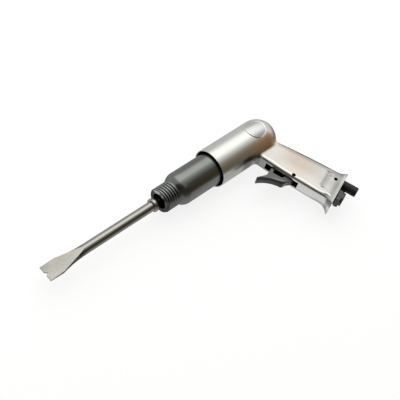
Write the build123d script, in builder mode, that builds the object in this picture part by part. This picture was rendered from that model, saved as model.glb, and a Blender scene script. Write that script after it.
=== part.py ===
from build123d import *
import os
from math import cos, radians, sin, sqrt

# Pneumatic hammer with a pistol grip, lying on its right side.
# X runs along the barrel to the rear, Y up the tool and Z out of its left side.
# The origin is on the barrel's axis, at the middle of the nose thread. Millimetres and degrees.

# Fits, as gaps between radii
RUNNING_GAP = 0.04
SEAT_GAP = 0.02
FACE_GAP = 0.05

# Barrel, a turned steel cylinder
NOSE_LENGTH = 16.4
NOSE_RADIUS = 13.6
NOSE_CHAMFER = 1.0
NOSE_MOUTH_RADIUS = 8.6
NOSE_SEAT_RADIUS = 7.8
NOSE_MOUTH_DEPTH = 7.0
RELIEF_LENGTH = 1.7
RELIEF_DEPTH = 0.9
SHOULDER_RADIUS = 12.5
BARREL_RADIUS = 17.8
BARREL_SHOWN = 41.7
BARREL_HELD = 49.0
BARREL_CHAMFER = 1.0
BORE_RADIUS = 9.5
NOSE_WALL = 29.0
EXHAUST_PORT_RADIUS = 2.0
EXHAUST_PORTS = 6
EXHAUST_PORT_BACK = 18.0

# Chisel with a taper collar
SHANK_RADIUS = 5.1
SHANK_LENGTH = 40.0
SHANK_CHAMFER = 0.8
COLLAR_RADIUS = 7.3
COLLAR_LENGTH = 3.9
COLLAR_ROUND = 1.0
COLLAR_AHEAD = 6.2
TAPER_RADIUS = 6.1
TAPER_LENGTH = 4.0
ROD_RADIUS = 5.25
ROD_LENGTH = 86.0
FLARE_LENGTH = 29.0
BLADE_WIDTH = 17.2
BLADE_LENGTH = 16.0
BLADE_ROOT_THICKNESS = 3.8
BLADE_EDGE_THICKNESS = 1.2
NOTCH_WIDTH = 3.6
NOTCH_DEPTH = 2.6

# Piston
PISTON_LENGTH = 40.0
PISTON_CHAMFER = 1.0

# Housing, one aluminium casting: sleeve, dome and grip
SLEEVE_RADIUS = 21.25
SLEEVE_LENGTH = 69.8
SLEEVE_WALL = 1.2
MOUTH_CHAMFER = 0.7
EXHAUST_DEPTH = 34.0
BADGE_RADIUS = 12.0
BADGE_RISE = 0.6
BADGE_CHAMFER = 0.8
BADGE_AHEAD = 6.5
BADGE_UP = 2.2
GRIP_RAKE = 19.5
BASE_BACK = 94.7
BASE_DROP = 101.3
TOE_REACH = 25.7
HEEL_REACH = 21.4
BASE_WIDTH = 21.0
BASE_LIP = 1.0
FLARE_HEIGHT = 13.0
SPREAD_HEIGHT = 9.6
GRIP_DEPTH = 38.0
GRIP_TOP_DEPTH = 27.6
GRIP_BOW = 1.1
GRIP_WIDTH = 17.0
GRIP_ROOT = 12.0
GRIP_EDGE_ROUND = 3.0
ROOT_ROUND = 5.0
PAD_LENGTH = 22.0
PAD_HEIGHT = 9.6
PAD_RAMP = 3.2
PAD_DEPTH = 0.8
PAD_BACK = 2.4
PAD_UP = 21.6

# Valve blocks behind the barrel
CHAMBER_RADIUS = 13.0
GASKET_THICKNESS = 1.0
FRONT_BLOCK_LENGTH = 5.0
REAR_BLOCK_LENGTH = 11.0
BLOCK_HOLE_RADIUS = 3.0
BLOCK_PORT_RADIUS = 1.6
BLOCK_GROOVE_DEPTH = 1.4
BLOCK_GROOVE_WIDTH = 5.0
BLOCK_GROOVE_BACK = 3.8
DISC_RADIUS = 8.0
DISC_THICKNESS = 1.5
DISC_TRAVEL = 1.2
DISC_GAP = 0.3
DOWEL_RADIUS = 1.0
DOWEL_LENGTH = 13.0
DOWEL_CIRCLE = 10.0

# Trigger, measured from its pivot in the grip's own frame
PIVOT_AHEAD = 14.4
PIVOT_UP = 48.9
TRIGGER_PIN_RADIUS = 1.7
TRIGGER_PIN_LENGTH = 13.0
TRIGGER_WIDTH = 8.0
TRIGGER_BOSS_RADIUS = 3.8
FINGER_ROUND = 1.4
TIP_AHEAD = 26.2
TIP_UP = 30.4
TIP_BACK_AHEAD = 23.2
TIP_BACK_UP = 31.9
TIP_ROUND = 0.8
HEEL_AHEAD = 14.6
HEEL_UP = 5.0
HEEL_ROUND = 3.0
FINGER_DEPTH = 2.9
NECK_AHEAD = 13.6
NECK_ROUND = 4.0
POST_UP = 22.3
POST_RADIUS = 1.85
POST_REACH = 1.6
WEB_AHEAD = 7.4
WEB_UP = 9.2
WEB_ROUND = 1.0
BUMP_AHEAD = 4.2
BUMP_UP = 7.2
ARM_AHEAD = 8.0
ARM_UP = 1.8
SLOT_WIDTH = 8.8
SLOT_LOW = 40.9
SLOT_HIGH = 79.8
SLOT_FLOOR = 8.5

# Throttle valve, across the grip behind the trigger
STEM_RADIUS = 1.6
STEM_HEAD_RADIUS = 3.3
STEM_HEAD_LENGTH = 3.0
STEM_GUIDE_LENGTH = 2.6
THROTTLE_RADIUS = 4.2
BUSHING_LENGTH = 6.5
BUSHING_SHELF = 2.6
BUSHING_BORE_RADIUS = 2.5
BUSHING_PORT_RADIUS = 1.5
SEAL_WIDTH = 1.2
SEAL_DEPTH = 0.7
THROTTLE_SEAL_THICKNESS = 0.8
SPRING_LENGTH = 8.0
SPRING_RADIUS = 3.0
SPRING_WIRE = 0.6

# Regulator, a plug that turns in the base
REGULATOR_BACK = 12.6
KNOB_RADIUS = 5.4
KNOB_LENGTH = 17.2
KNOB_CHAMFER = 0.6
PLUG_RADIUS = 4.2
PLUG_LENGTH = 22.5
PLUG_PORT_UP = 16.0
PLUG_PORT_RADIUS = 2.2
PLUG_WAY_RADIUS = 2.6
PLUG_SEAL_UP = 3.6
REGULATOR_PIN_RADIUS = 1.5
REGULATOR_PIN_UP = 8.8
REGULATOR_PIN_LENGTH = 13.0
PIN_GROOVE_DEPTH = 1.3
PLENUM_LENGTH = 3.5

# Inlet bushing
INLET_AHEAD = 5.2
HEX_FLATS = 18.2
HEX_LENGTH = 4.8
HEX_CHAMFER = 1.2
HEX_TURN = 40.0
INLET_COLLAR_RADIUS = 7.3
INLET_COLLAR_LENGTH = 2.4
INLET_COLLAR_CHAMFER = 0.4
INLET_SPIGOT_RADIUS = 6.9
INLET_SPIGOT_LENGTH = 10.2
INLET_BORE_RADIUS = 5.6
INLET_BORE_CHAMFER = 0.8
INLET_SEAL_RADIUS = 8.7
INLET_SEAL_THICKNESS = 1.2
SCREEN_THICKNESS = 0.8
SCREEN_HOLE_RADIUS = 0.7
SCREEN_RING_RADIUS = 3.0
SCREEN_HOLES = 6

# Air passages cast into the grip
INLET_WAY_RADIUS = 3.4
CROSS_WAY_RADIUS = 2.5
SUPPLY_WAY_RADIUS = 2.4
SUPPLY_WAY_BACK = 8.0
DELIVERY_WAY_RADIUS = 2.0

# Places along the barrel
nose_front = -NOSE_LENGTH / 2
nose_end = NOSE_LENGTH / 2
relief_radius = NOSE_RADIUS - RELIEF_DEPTH
shoulder_start = nose_end + RELIEF_LENGTH
shoulder_drop = SHOULDER_RADIUS - (BARREL_RADIUS - relief_radius)
shoulder_end = shoulder_start + sqrt(SHOULDER_RADIUS**2 - shoulder_drop**2)
mouth = shoulder_end + BARREL_SHOWN
barrel_end = mouth + BARREL_HELD
chamber_start = barrel_end + GASKET_THICKNESS
blocks_meet = chamber_start + FRONT_BLOCK_LENGTH
chamber_end = blocks_meet + REAR_BLOCK_LENGTH
dome_centre = mouth + SLEEVE_LENGTH
guide_radius = SHANK_RADIUS + RUNNING_GAP
collar_back = nose_front - COLLAR_AHEAD
rod_start = collar_back - COLLAR_LENGTH
rod_end = rod_start - ROD_LENGTH
blade_root = rod_end - FLARE_LENGTH
blade_edge = blade_root - BLADE_LENGTH
shank_end = collar_back + SHANK_LENGTH
nose_seat = nose_front + NOSE_MOUTH_DEPTH
bore_front = nose_front + NOSE_WALL
piston_front = chamber_start - FACE_GAP - PISTON_LENGTH
gap_radius = SLEEVE_RADIUS - SLEEVE_WALL
seat_radius = BARREL_RADIUS + SEAT_GAP
block_radius = CHAMBER_RADIUS - SEAT_GAP
pocket_radius = DISC_RADIUS + DISC_GAP
pocket_end = blocks_meet + FACE_GAP + DISC_THICKNESS + DISC_TRAVEL
groove_middle = blocks_meet + BLOCK_GROOVE_BACK
dowel_start = chamber_start + (FRONT_BLOCK_LENGTH + REAR_BLOCK_LENGTH - DOWEL_LENGTH) / 2

# The grip's frame: its x runs back along the base, its y up the grip, from the middle of the base
rake_cos = cos(radians(GRIP_RAKE))
rake_sin = sin(radians(GRIP_RAKE))
base_centre = (mouth + BASE_BACK, -BASE_DROP, 0)
grip_plane = Plane(base_centre, x_dir=(rake_cos, rake_sin, 0), z_dir=(0, 0, 1))
face_plane = Plane(base_centre, x_dir=(0, 0, 1), z_dir=(-rake_cos, -rake_sin, 0))
base_plane = Plane(base_centre, x_dir=(rake_cos, rake_sin, 0), z_dir=(-rake_sin, rake_cos, 0))
grip_axis = Axis(base_centre, grip_plane.y_dir)
grip_top = (BASE_DROP - GRIP_ROOT) / rake_cos
grip_middle = (grip_top + FLARE_HEIGHT) / 2
waist = (GRIP_DEPTH + GRIP_TOP_DEPTH) / 4 + GRIP_BOW
throttle_up = PIVOT_UP + POST_UP


def grip_point(back, up, left=0):
    """A place in the grip's frame, given in the part's frame."""
    return grip_plane.from_local_coords((back, up, left))


def along_grip(back):
    """A plane in the grip's middle whose x runs up the grip at a distance behind its axis."""
    return Plane(grip_point(back, 0), x_dir=grip_plane.y_dir, z_dir=(0, 0, 1))


def across_grip(up):
    """A plane in the grip's middle whose x runs back across the grip at a height above its base."""
    return Plane(grip_point(0, up), x_dir=grip_plane.x_dir, z_dir=(0, 0, 1))


throttle_plane = across_grip(throttle_up)
throttle_axis = Axis(throttle_plane.origin, throttle_plane.x_dir)
regulator_plane = along_grip(REGULATOR_BACK)
regulator_axis = Axis(regulator_plane.origin, regulator_plane.x_dir)
inlet_plane = along_grip(-INLET_AHEAD)
inlet_axis = Axis(inlet_plane.origin, inlet_plane.x_dir)

# Places along the throttle valve, counted back across the grip
bushing_start = -SLOT_FLOOR
bushing_end = bushing_start + BUSHING_LENGTH
stem_tip = -PIVOT_AHEAD + POST_REACH + FACE_GAP
head_start = bushing_end + THROTTLE_SEAL_THICKNESS
head_end = head_start + STEM_HEAD_LENGTH
throttle_end = head_end + SPRING_LENGTH
bushing_port = bushing_start + (BUSHING_SHELF + BUSHING_LENGTH) / 2
bushing_radius = THROTTLE_RADIUS - SEAT_GAP
seal_start = bushing_start + (BUSHING_SHELF - SEAL_WIDTH) / 2
delivery_top = (BASE_DROP - CHAMBER_RADIUS + DELIVERY_WAY_RADIUS) / rake_cos

# Places along the inlet and the regulator, counted up the grip from its base
hex_end = -INLET_SEAL_THICKNESS - HEX_LENGTH
inlet_face = hex_end - INLET_COLLAR_LENGTH
hex_corner = HEX_FLATS / sqrt(3)
inlet_bore_top = INLET_SPIGOT_LENGTH + SCREEN_THICKNESS
pin_groove_half = REGULATOR_PIN_RADIUS + FACE_GAP
regulator_pin_back = REGULATOR_BACK - PLUG_RADIUS + PIN_GROOVE_DEPTH - pin_groove_half

# Places on the trigger, from its pivot
trigger_plane = Plane(grip_point(-PIVOT_AHEAD, PIVOT_UP), x_dir=grip_plane.x_dir, z_dir=(0, 0, 1))
trigger_tip = (-TIP_AHEAD, TIP_UP)
trigger_heel = (-HEEL_AHEAD, HEEL_UP)
boss_reach = TRIGGER_BOSS_RADIUS * sqrt(0.5)
post_middle = POST_REACH - POST_RADIUS
trigger_corners = (
    ((-TIP_BACK_AHEAD, TIP_BACK_UP), TIP_ROUND),
    (trigger_heel, HEEL_ROUND),
    ((-NECK_AHEAD, POST_UP + POST_RADIUS), NECK_ROUND),
    ((-WEB_AHEAD, POST_UP - POST_RADIUS), WEB_ROUND),
    ((-WEB_AHEAD, WEB_UP), WEB_ROUND),
)

os.makedirs("parts", exist_ok=True)

# Grip: its side view crossed with its front view, with rounded long edges, on a thin straight lip
with BuildPart() as grip:
    with BuildSketch(grip_plane):
        with BuildLine():
            back = ThreePointArc(
                (GRIP_TOP_DEPTH / 2, grip_top), (waist, grip_middle), (GRIP_DEPTH / 2, FLARE_HEIGHT)
            )
            heel = TangentArc(back @ 1, (HEEL_REACH, BASE_LIP), tangent=back % 1)
            front = ThreePointArc(
                (-GRIP_TOP_DEPTH / 2, grip_top), (-waist, grip_middle), (-GRIP_DEPTH / 2, FLARE_HEIGHT)
            )
            toe = TangentArc(front @ 1, (-TOE_REACH, BASE_LIP), tangent=front % 1)
            Line(heel @ 1, toe @ 1)
            Line(back @ 0, front @ 0)
        make_face()
    extrude(amount=BASE_WIDTH, both=True)
    with BuildSketch(face_plane):
        with BuildLine():
            wall = Line((GRIP_WIDTH / 2, grip_top), (GRIP_WIDTH / 2, SPREAD_HEIGHT))
            spread = TangentArc(wall @ 1, (BASE_WIDTH / 2, BASE_LIP), tangent=wall % 1)
            Line(spread @ 1, (0, BASE_LIP))
            mirror(about=Plane.YZ)
            Line((-GRIP_WIDTH / 2, grip_top), (GRIP_WIDTH / 2, grip_top))
        make_face()
    extrude(amount=TOE_REACH + HEEL_REACH, both=True, mode=Mode.INTERSECT)
    long_edges = grip.edges().filter_by(
        lambda edge: abs(edge.center().Z) > GRIP_WIDTH / 4
        and abs(grip_plane.to_local_coords(edge.center()).X) > GRIP_TOP_DEPTH / 4
        and abs((edge @ 0).Z - (edge @ 1).Z) < BASE_WIDTH / 4
    )
    fillet(long_edges, GRIP_EDGE_ROUND)
    extrude(grip.faces().sort_by(grip_axis)[0], amount=BASE_LIP)

# Round boss on the dome's left side, bare, its top level with the sleeve and its rim bevelled
with BuildPart() as badge:
    with BuildSketch(Plane.XY):
        with Locations((dome_centre - BADGE_AHEAD, BADGE_UP)):
            Circle(BADGE_RADIUS)
    extrude(amount=SLEEVE_RADIUS + BADGE_RISE)
    with BuildSketch(Plane.YZ.offset(mouth)):
        Circle(SLEEVE_RADIUS + BADGE_RISE)
    extrude(amount=SLEEVE_LENGTH + SLEEVE_RADIUS, mode=Mode.INTERSECT)
    chamfer(badge.edges().sort_by(Axis.Z)[-1], BADGE_CHAMFER)

# Housing: the turned sleeve and dome take the grip, then the bores, the slot and the air ways are cut
with BuildPart() as housing:
    with BuildSketch(Plane.XY):
        with BuildLine():
            Line((mouth, 0), (mouth, SLEEVE_RADIUS))
            Line((mouth, SLEEVE_RADIUS), (dome_centre, SLEEVE_RADIUS))
            RadiusArc((dome_centre, SLEEVE_RADIUS), (dome_centre + SLEEVE_RADIUS, 0), SLEEVE_RADIUS)
            Line((dome_centre + SLEEVE_RADIUS, 0), (mouth, 0))
        make_face()
    revolve(axis=Axis.X)
    add(grip.part)
    root_edges = housing.edges().filter_by(
        lambda edge: edge.center().X > mouth + ROOT_ROUND
        and -SLEEVE_RADIUS - ROOT_ROUND < edge.center().Y < -GRIP_ROOT
    )
    fillet(root_edges, ROOT_ROUND)
    add(badge.part)
    # Stepped bore: exhaust gap around the barrel, barrel seat, valve chamber
    with BuildSketch(Plane.XY):
        with BuildLine():
            Polyline(
                (mouth, 0),
                (mouth, gap_radius + MOUTH_CHAMFER),
                (mouth + MOUTH_CHAMFER, gap_radius),
                (mouth + EXHAUST_DEPTH, gap_radius),
                (mouth + EXHAUST_DEPTH, seat_radius),
                (chamber_start, seat_radius),
                (chamber_start, CHAMBER_RADIUS),
                (chamber_end, CHAMBER_RADIUS),
                (chamber_end, 0),
                close=True,
            )
        make_face()
    revolve(axis=Axis.X, mode=Mode.SUBTRACT)
    # Shallow pad low on the grip, bare: a short ramp in from its upper edge and a long one out again
    with BuildSketch(face_plane.offset(-PAD_BACK)):
        with BuildLine():
            Polyline(
                (GRIP_WIDTH / 2, PAD_UP - PAD_HEIGHT),
                (BASE_WIDTH, PAD_UP - PAD_HEIGHT),
                (BASE_WIDTH, PAD_UP),
                (GRIP_WIDTH / 2, PAD_UP),
                (GRIP_WIDTH / 2 - PAD_DEPTH, PAD_UP - PAD_RAMP),
                close=True,
            )
        make_face()
    extrude(amount=PAD_LENGTH / 2, both=True, mode=Mode.SUBTRACT)
    # Trigger slot in the front strap, and the holes for the two cross pins
    with BuildSketch(grip_plane):
        with Locations((-SLOT_FLOOR - GRIP_DEPTH / 2, (SLOT_LOW + SLOT_HIGH) / 2)):
            Rectangle(GRIP_DEPTH, SLOT_HIGH - SLOT_LOW)
    extrude(amount=SLOT_WIDTH / 2, both=True, mode=Mode.SUBTRACT)
    with BuildSketch(grip_plane):
        with Locations((-PIVOT_AHEAD, PIVOT_UP)):
            Circle(TRIGGER_PIN_RADIUS + SEAT_GAP)
        with Locations((regulator_pin_back, REGULATOR_PIN_UP)):
            Circle(REGULATOR_PIN_RADIUS + SEAT_GAP)
    extrude(amount=BASE_WIDTH, both=True, mode=Mode.SUBTRACT)
    # Bores across and along the grip: throttle chamber, inlet and regulator
    with BuildSketch(throttle_plane):
        with Locations((bushing_start - FACE_GAP, 0)):
            Rectangle(throttle_end - bushing_start, THROTTLE_RADIUS, align=(Align.MIN, Align.MIN))
    revolve(axis=throttle_axis, mode=Mode.SUBTRACT)
    with BuildSketch(base_plane):
        with Locations((-INLET_AHEAD, 0)):
            Circle(INLET_SPIGOT_RADIUS + SEAT_GAP)
    extrude(amount=inlet_bore_top, mode=Mode.SUBTRACT)
    with BuildSketch(base_plane):
        with Locations((REGULATOR_BACK, 0)):
            Circle(PLUG_RADIUS + RUNNING_GAP)
    extrude(amount=PLUG_LENGTH + PLENUM_LENGTH, mode=Mode.SUBTRACT)
    # Air ways: from the inlet across to the regulator, up to the throttle, and on to the valve
    with BuildSketch(base_plane):
        with Locations((-INLET_AHEAD, 0)):
            Circle(INLET_WAY_RADIUS)
    extrude(amount=PLUG_PORT_UP, mode=Mode.SUBTRACT)
    with BuildSketch(Plane(grip_point(-INLET_AHEAD, PLUG_PORT_UP), z_dir=grip_plane.x_dir)):
        Circle(CROSS_WAY_RADIUS)
    extrude(amount=INLET_AHEAD + REGULATOR_BACK, mode=Mode.SUBTRACT)
    with BuildSketch(base_plane.offset(PLUG_LENGTH + PLENUM_LENGTH / 2)):
        with Locations((SUPPLY_WAY_BACK, 0)):
            Circle(SUPPLY_WAY_RADIUS)
    extrude(amount=throttle_up - PLUG_LENGTH - PLENUM_LENGTH / 2, mode=Mode.SUBTRACT)
    with BuildSketch(base_plane.offset(throttle_up)):
        with Locations((bushing_port, 0)):
            Circle(DELIVERY_WAY_RADIUS)
    extrude(amount=delivery_top - throttle_up, mode=Mode.SUBTRACT)
housing.part.label = "housing"
export_step(housing.part, "parts/housing.step")

# Barrel: threaded nose with a coned mouth, round shoulder, plain cylinder, bore and exhaust ports
with BuildPart() as barrel:
    with BuildSketch(Plane.XY):
        with BuildLine():
            Polyline(
                (shoulder_start, relief_radius),
                (nose_end + RELIEF_DEPTH / 2, relief_radius),
                (nose_end, NOSE_RADIUS),
                (nose_front + NOSE_CHAMFER, NOSE_RADIUS),
                (nose_front, NOSE_RADIUS - NOSE_CHAMFER),
                (nose_front, NOSE_MOUTH_RADIUS),
                (nose_seat, NOSE_SEAT_RADIUS),
                (nose_seat, guide_radius),
                (bore_front - BORE_RADIUS + guide_radius, guide_radius),
                (bore_front, BORE_RADIUS),
                (barrel_end, BORE_RADIUS),
                (barrel_end, BARREL_RADIUS - BARREL_CHAMFER),
                (barrel_end - BARREL_CHAMFER, BARREL_RADIUS),
                (shoulder_end, BARREL_RADIUS),
            )
            RadiusArc((shoulder_start, relief_radius), (shoulder_end, BARREL_RADIUS), SHOULDER_RADIUS)
        make_face()
    revolve(axis=Axis.X)
    with BuildSketch(Plane.XY.offset(BORE_RADIUS / 2)):
        with Locations((mouth + EXHAUST_PORT_BACK, 0)):
            Circle(EXHAUST_PORT_RADIUS)
    port = extrude(amount=BARREL_RADIUS, mode=Mode.PRIVATE)
    for step in range(EXHAUST_PORTS):
        add(port.rotate(Axis.X, step * 360 / EXHAUST_PORTS), mode=Mode.SUBTRACT)
barrel.part.label = "barrel"
export_step(barrel.part, "parts/barrel.step")

# Chisel: the rod widens in a turned flare, two flats make the blade, and a notch is cut in its edge
with BuildPart() as chisel:
    with BuildSketch(Plane.XY):
        with BuildLine():
            rod_side = Line((rod_end + BLADE_LENGTH, ROD_RADIUS), (rod_end, ROD_RADIUS))
            widening = TangentArc(rod_side @ 1, (blade_root, BLADE_WIDTH / 2), tangent=rod_side % 1)
            Polyline(
                widening @ 1,
                (blade_edge, BLADE_WIDTH / 2),
                (blade_edge, 0),
                (rod_end + BLADE_LENGTH, 0),
                rod_side @ 0,
            )
        make_face()
    revolve(axis=Axis.X)
    with BuildSketch(Plane.XZ):
        with BuildLine():
            Polyline(
                (rod_end + BLADE_LENGTH, 0),
                (rod_end + BLADE_LENGTH, BLADE_WIDTH / 2),
                (rod_end, ROD_RADIUS),
                (blade_root, BLADE_ROOT_THICKNESS / 2),
                (blade_edge, BLADE_EDGE_THICKNESS / 2),
                (blade_edge, 0),
            )
            mirror(about=Plane.XZ)
        make_face()
    extrude(amount=BLADE_WIDTH, both=True, mode=Mode.INTERSECT)
    with BuildSketch(Plane.XY):
        with BuildLine():
            Polyline(
                (blade_edge, NOTCH_WIDTH / 2),
                (blade_edge + NOTCH_DEPTH, 0),
                (blade_edge, -NOTCH_WIDTH / 2),
                close=True,
            )
        make_face()
    extrude(amount=BLADE_WIDTH, both=True, mode=Mode.SUBTRACT)
    with BuildSketch(Plane.XY):
        with BuildLine():
            Polyline(
                (rod_end + BLADE_LENGTH, 0),
                (rod_end + BLADE_LENGTH, ROD_RADIUS),
                (rod_start, ROD_RADIUS),
                (rod_start, COLLAR_RADIUS),
                (collar_back, COLLAR_RADIUS),
                (collar_back, TAPER_RADIUS),
                (collar_back + TAPER_LENGTH, SHANK_RADIUS),
                (shank_end - SHANK_CHAMFER, SHANK_RADIUS),
                (shank_end, SHANK_RADIUS - SHANK_CHAMFER),
                (shank_end, 0),
                close=True,
            )
        make_face()
    revolve(axis=Axis.X)
    collar_edges = chisel.edges().filter_by(GeomType.CIRCLE).filter_by(
        lambda edge: abs(edge.radius - COLLAR_RADIUS) < FACE_GAP
    )
    fillet(collar_edges, COLLAR_ROUND)
chisel.part.label = "chisel"
export_step(chisel.part, "parts/chisel.step")

# Piston: a plain slug that runs in the barrel
with BuildPart() as piston:
    with BuildSketch(Plane.YZ.offset(piston_front)):
        Circle(BORE_RADIUS - RUNNING_GAP)
    extrude(amount=PISTON_LENGTH)
    chamfer(piston.edges().filter_by(GeomType.CIRCLE), PISTON_CHAMFER)
piston.part.label = "piston"
export_step(piston.part, "parts/piston.step")

# Gasket between the barrel, the housing's step and the front valve block
with BuildPart() as barrel_gasket:
    with BuildSketch(Plane.YZ.offset(barrel_end)):
        Circle(BARREL_RADIUS - BARREL_CHAMFER)
        Circle((BORE_RADIUS + CHAMBER_RADIUS) / 2, mode=Mode.SUBTRACT)
    extrude(amount=GASKET_THICKNESS)
barrel_gasket.part.label = "barrel_gasket"
export_step(barrel_gasket.part, "parts/barrel_gasket.step")

# Front valve block, with the air hole to the bore and two dowel holes
with BuildPart() as front_valve_block:
    with BuildSketch(Plane.YZ.offset(chamber_start)):
        Circle(block_radius)
        Circle(BLOCK_HOLE_RADIUS, mode=Mode.SUBTRACT)
    extrude(amount=FRONT_BLOCK_LENGTH)
    with BuildSketch(Plane.YZ.offset(dowel_start)):
        with PolarLocations(DOWEL_CIRCLE, 2):
            Circle(DOWEL_RADIUS + SEAT_GAP)
    extrude(amount=FRONT_BLOCK_LENGTH, mode=Mode.SUBTRACT)
front_valve_block.part.label = "front_valve_block"
export_step(front_valve_block.part, "parts/front_valve_block.step")

# Rear valve block, with the disc's pocket, an air groove around it and ports from the groove
with BuildPart() as rear_valve_block:
    with BuildSketch(Plane.XY):
        with BuildLine():
            Polyline(
                (blocks_meet, pocket_radius),
                (blocks_meet, block_radius),
                (groove_middle - BLOCK_GROOVE_WIDTH / 2, block_radius),
                (groove_middle - BLOCK_GROOVE_WIDTH / 2, block_radius - BLOCK_GROOVE_DEPTH),
                (groove_middle + BLOCK_GROOVE_WIDTH / 2, block_radius - BLOCK_GROOVE_DEPTH),
                (groove_middle + BLOCK_GROOVE_WIDTH / 2, block_radius),
                (chamber_end - FACE_GAP, block_radius),
                (chamber_end - FACE_GAP, 0),
                (groove_middle + BLOCK_PORT_RADIUS, 0),
                (groove_middle + BLOCK_PORT_RADIUS, BLOCK_HOLE_RADIUS),
                (pocket_end, BLOCK_HOLE_RADIUS),
                (pocket_end, pocket_radius),
                close=True,
            )
        make_face()
    revolve(axis=Axis.X)
    with BuildSketch(Plane.XY):
        with Locations((groove_middle, 0)):
            Circle(BLOCK_PORT_RADIUS)
    extrude(amount=CHAMBER_RADIUS, both=True, mode=Mode.SUBTRACT)
    with BuildSketch(Plane.YZ.offset(blocks_meet)):
        with PolarLocations(DOWEL_CIRCLE, 2):
            Circle(DOWEL_RADIUS + SEAT_GAP)
    extrude(amount=dowel_start + DOWEL_LENGTH - blocks_meet, mode=Mode.SUBTRACT)
rear_valve_block.part.label = "rear_valve_block"
export_step(rear_valve_block.part, "parts/rear_valve_block.step")

# Floating disc between the blocks
with BuildPart() as valve_disc:
    with BuildSketch(Plane.YZ.offset(blocks_meet + FACE_GAP)):
        Circle(DISC_RADIUS)
    extrude(amount=DISC_THICKNESS)
valve_disc.part.label = "valve_disc"
export_step(valve_disc.part, "parts/valve_disc.step")

# Two dowels that line the blocks up
with BuildPart() as valve_dowels:
    with BuildSketch(Plane.YZ.offset(dowel_start)):
        with PolarLocations(DOWEL_CIRCLE, 2):
            Circle(DOWEL_RADIUS)
    extrude(amount=DOWEL_LENGTH)
valve_dowels.part.label = "valve_dowels"
export_step(valve_dowels.part, "parts/valve_dowels.step")

# Trigger: hooked finger face, web down to the pivot boss, and a post that pushes the stem
with BuildPart() as trigger:
    with BuildSketch(trigger_plane) as trigger_outline:
        with BuildLine():
            finger = SagittaArc(trigger_tip, trigger_heel, FINGER_DEPTH)
            Polyline(
                finger @ 1,
                (-ARM_AHEAD, ARM_UP),
                (-boss_reach, -boss_reach),
                (boss_reach, boss_reach),
                (-BUMP_AHEAD, BUMP_UP),
                (-WEB_AHEAD, WEB_UP),
                (-WEB_AHEAD, POST_UP - POST_RADIUS),
                (post_middle, POST_UP - POST_RADIUS),
                (post_middle, POST_UP + POST_RADIUS),
                (-NECK_AHEAD, POST_UP + POST_RADIUS),
                (-TIP_BACK_AHEAD, TIP_BACK_UP),
                finger @ 0,
            )
        make_face()
        for corner, radius in trigger_corners:
            fillet(trigger_outline.vertices().sort_by_distance(corner)[0], radius)
        Circle(TRIGGER_BOSS_RADIUS)
        with Locations((post_middle, POST_UP)):
            Circle(POST_RADIUS)
        Circle(TRIGGER_PIN_RADIUS + RUNNING_GAP, mode=Mode.SUBTRACT)
    extrude(amount=TRIGGER_WIDTH / 2, both=True)
    finger_edges = trigger.edges().filter_by(GeomType.CIRCLE).sort_by(SortBy.LENGTH)[-2:]
    fillet(finger_edges, FINGER_ROUND)
trigger.part.label = "trigger"
export_step(trigger.part, "parts/trigger.step")

# Cross pins of the trigger and the regulator, both sunk below the grip's sides
with BuildPart() as trigger_pin:
    with BuildSketch(trigger_plane):
        Circle(TRIGGER_PIN_RADIUS)
    extrude(amount=TRIGGER_PIN_LENGTH / 2, both=True)
trigger_pin.part.label = "trigger_pin"
export_step(trigger_pin.part, "parts/trigger_pin.step")

with BuildPart() as regulator_pin:
    with BuildSketch(grip_plane):
        with Locations((regulator_pin_back, REGULATOR_PIN_UP)):
            Circle(REGULATOR_PIN_RADIUS)
    extrude(amount=REGULATOR_PIN_LENGTH / 2, both=True)
regulator_pin.part.label = "regulator_pin"
export_step(regulator_pin.part, "parts/regulator_pin.step")

# Throttle bushing: guide for the stem, valve seat, seal groove and a port up into the delivery way
with BuildPart() as throttle_bushing:
    with BuildSketch(throttle_plane):
        with BuildLine():
            Polyline(
                (bushing_start, STEM_RADIUS + RUNNING_GAP),
                (bushing_start, bushing_radius),
                (seal_start, bushing_radius),
                (seal_start, bushing_radius - SEAL_DEPTH),
                (seal_start + SEAL_WIDTH, bushing_radius - SEAL_DEPTH),
                (seal_start + SEAL_WIDTH, bushing_radius),
                (bushing_end, bushing_radius),
                (bushing_end, BUSHING_BORE_RADIUS),
                (bushing_start + BUSHING_SHELF, BUSHING_BORE_RADIUS),
                (bushing_start + BUSHING_SHELF, STEM_RADIUS + RUNNING_GAP),
                close=True,
            )
        make_face()
    revolve(axis=throttle_axis)
    with BuildSketch(base_plane.offset(throttle_up)):
        with Locations((bushing_port, 0)):
            Circle(BUSHING_PORT_RADIUS)
    extrude(amount=THROTTLE_RADIUS, mode=Mode.SUBTRACT)
throttle_bushing.part.label = "throttle_bushing"
export_step(throttle_bushing.part, "parts/throttle_bushing.step")

with BuildPart() as bushing_seal:
    seal_plane = Plane(throttle_plane.from_local_coords((seal_start, 0, 0)), z_dir=throttle_plane.x_dir)
    with BuildSketch(seal_plane):
        Circle(bushing_radius)
        Circle(bushing_radius - SEAL_DEPTH, mode=Mode.SUBTRACT)
    extrude(amount=SEAL_WIDTH)
bushing_seal.part.label = "bushing_seal"
export_step(bushing_seal.part, "parts/bushing_seal.step")

# Throttle stem with its head, the ring under the head and the return spring behind it
with BuildPart() as throttle_stem:
    with BuildSketch(throttle_plane):
        with BuildLine():
            Polyline(
                (stem_tip, 0),
                (stem_tip, STEM_RADIUS),
                (head_start, STEM_RADIUS),
                (head_start, STEM_HEAD_RADIUS),
                (head_end, STEM_HEAD_RADIUS),
                (head_end, STEM_RADIUS),
                (head_end + STEM_GUIDE_LENGTH, STEM_RADIUS),
                (head_end + STEM_GUIDE_LENGTH, 0),
                close=True,
            )
        make_face()
    revolve(axis=throttle_axis)
throttle_stem.part.label = "throttle_stem"
export_step(throttle_stem.part, "parts/throttle_stem.step")

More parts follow.
